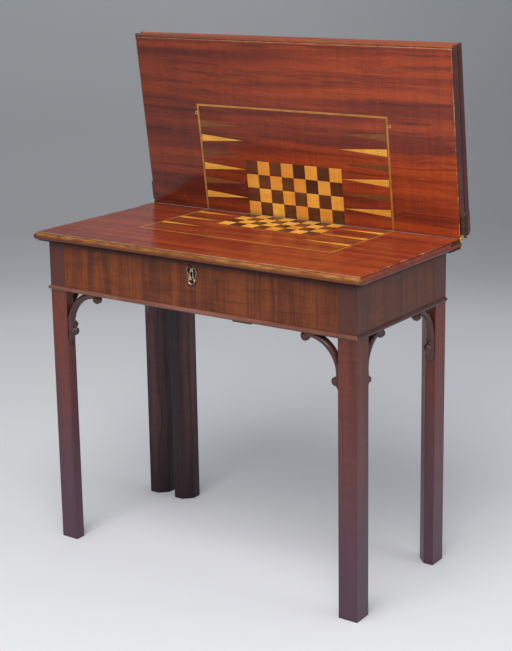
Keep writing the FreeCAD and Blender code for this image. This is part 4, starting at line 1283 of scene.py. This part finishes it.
# The greys below are painted shade: darkest where the sheet bends up, and dim_grey darkens its right side.
# The two ends come first, because a new colour ramp already has two stops.
paper_tones = ((-0.6, 233), (6.0, 179), (0.6, 224), (1.9, 215), (3.2, 170), (4.2, 166))
tooth_cells = (400.0, 400.0, 400.0)
dim_grey = (92, 96, 100)


def paper_material():
    material, surface, place = new_material("grey_paper")
    rise = put("ShaderNodeSeparateXYZ", {0: place}).outputs["Z"]
    path = maths("ADD", reach_along(place, flat_away), rise)
    feeds = {"Value": path, "From Min": paper_start, "From Max": paper_end}
    greys = put("ShaderNodeValToRGB", {"Fac": put("ShaderNodeMapRange", feeds).outputs[0]})
    stops = greys.color_ramp.elements
    for index, (at, grey) in enumerate(paper_tones):
        spot = (at - paper_start) / (paper_end - paper_start)
        stop = stops[index] if index < 2 else stops.new(spot)
        stop.position = spot
        stop.color = colour((grey - 1, grey, grey + 3))
    to_right = ramp(reach_along(place, flat_right), -0.3, 1.6)
    dim = product(to_right, ramp(path, 0.6, 3.0, 0.0, 0.3))
    tooth = noise(place, tooth_cells, 2.0)
    behind = put("ShaderNodeNewGeometry", {}, place.id_data).outputs["Backfacing"]
    send(surface, {
        "Base Color": tint(dim, greys.outputs["Color"], colour(dim_grey)),
        "Roughness": ramp(tooth, 0.2, 0.8, 0.75, 0.9),
        "Alpha": ramp(behind, 0.0, 1.0, 1.0, 0.0),
    })
    surface["Specular IOR Level"].default_value = 0.2
    return material


paper_mesh.materials.append(paper_material())
print("paper tones:", len(paper_tones))

# %% [markdown]
# ## Light
# The picture's light is soft and comes from above, a little in front and to the right. A sun would cut hard
# shadows. A wide lamp up there gives soft ones, a weak one lifts the right ends of the leaves, and the world
# adds even light.

# %% Lamps and world
table_middle = Vector((0, 0, 0.65))
world_tone = (0.92, 0.95, 1.0, 1.0)
world_strength = 0.51


def soft_lamp(name, spot, size, watts, tone):
    """Wide lamp that shines on the table's middle."""
    data = bpy.data.lights.new(name, "AREA")
    data.shape = "RECTANGLE"
    data.size, data.size_y = size
    data.energy = watts
    data.color = tone
    lamp = add_object(name, data)
    lamp.location = spot
    lamp.rotation_euler = (table_middle - lamp.location).to_track_quat("-Z", "Y").to_euler()
    return lamp


key_lamp = soft_lamp("key_lamp", spot=(0.6, -2.0, 3.65), size=(2.6, 2.6), watts=112, tone=(1.0, 0.98, 0.95))
right_lamp = soft_lamp("right_lamp", spot=(3.0, 0.4, 1.8), size=(1.4, 1.8), watts=14, tone=(0.93, 0.96, 1.0))
world = bpy.data.worlds.new("even_light")
world.use_nodes = True
background = world.node_tree.nodes["Background"].inputs
background["Color"].default_value = world_tone
background["Strength"].default_value = world_strength
bpy.context.scene.world = world
print("lamps:", key_lamp.name, key_lamp.data.energy, "W,", right_lamp.name, right_lamp.data.energy, "W")
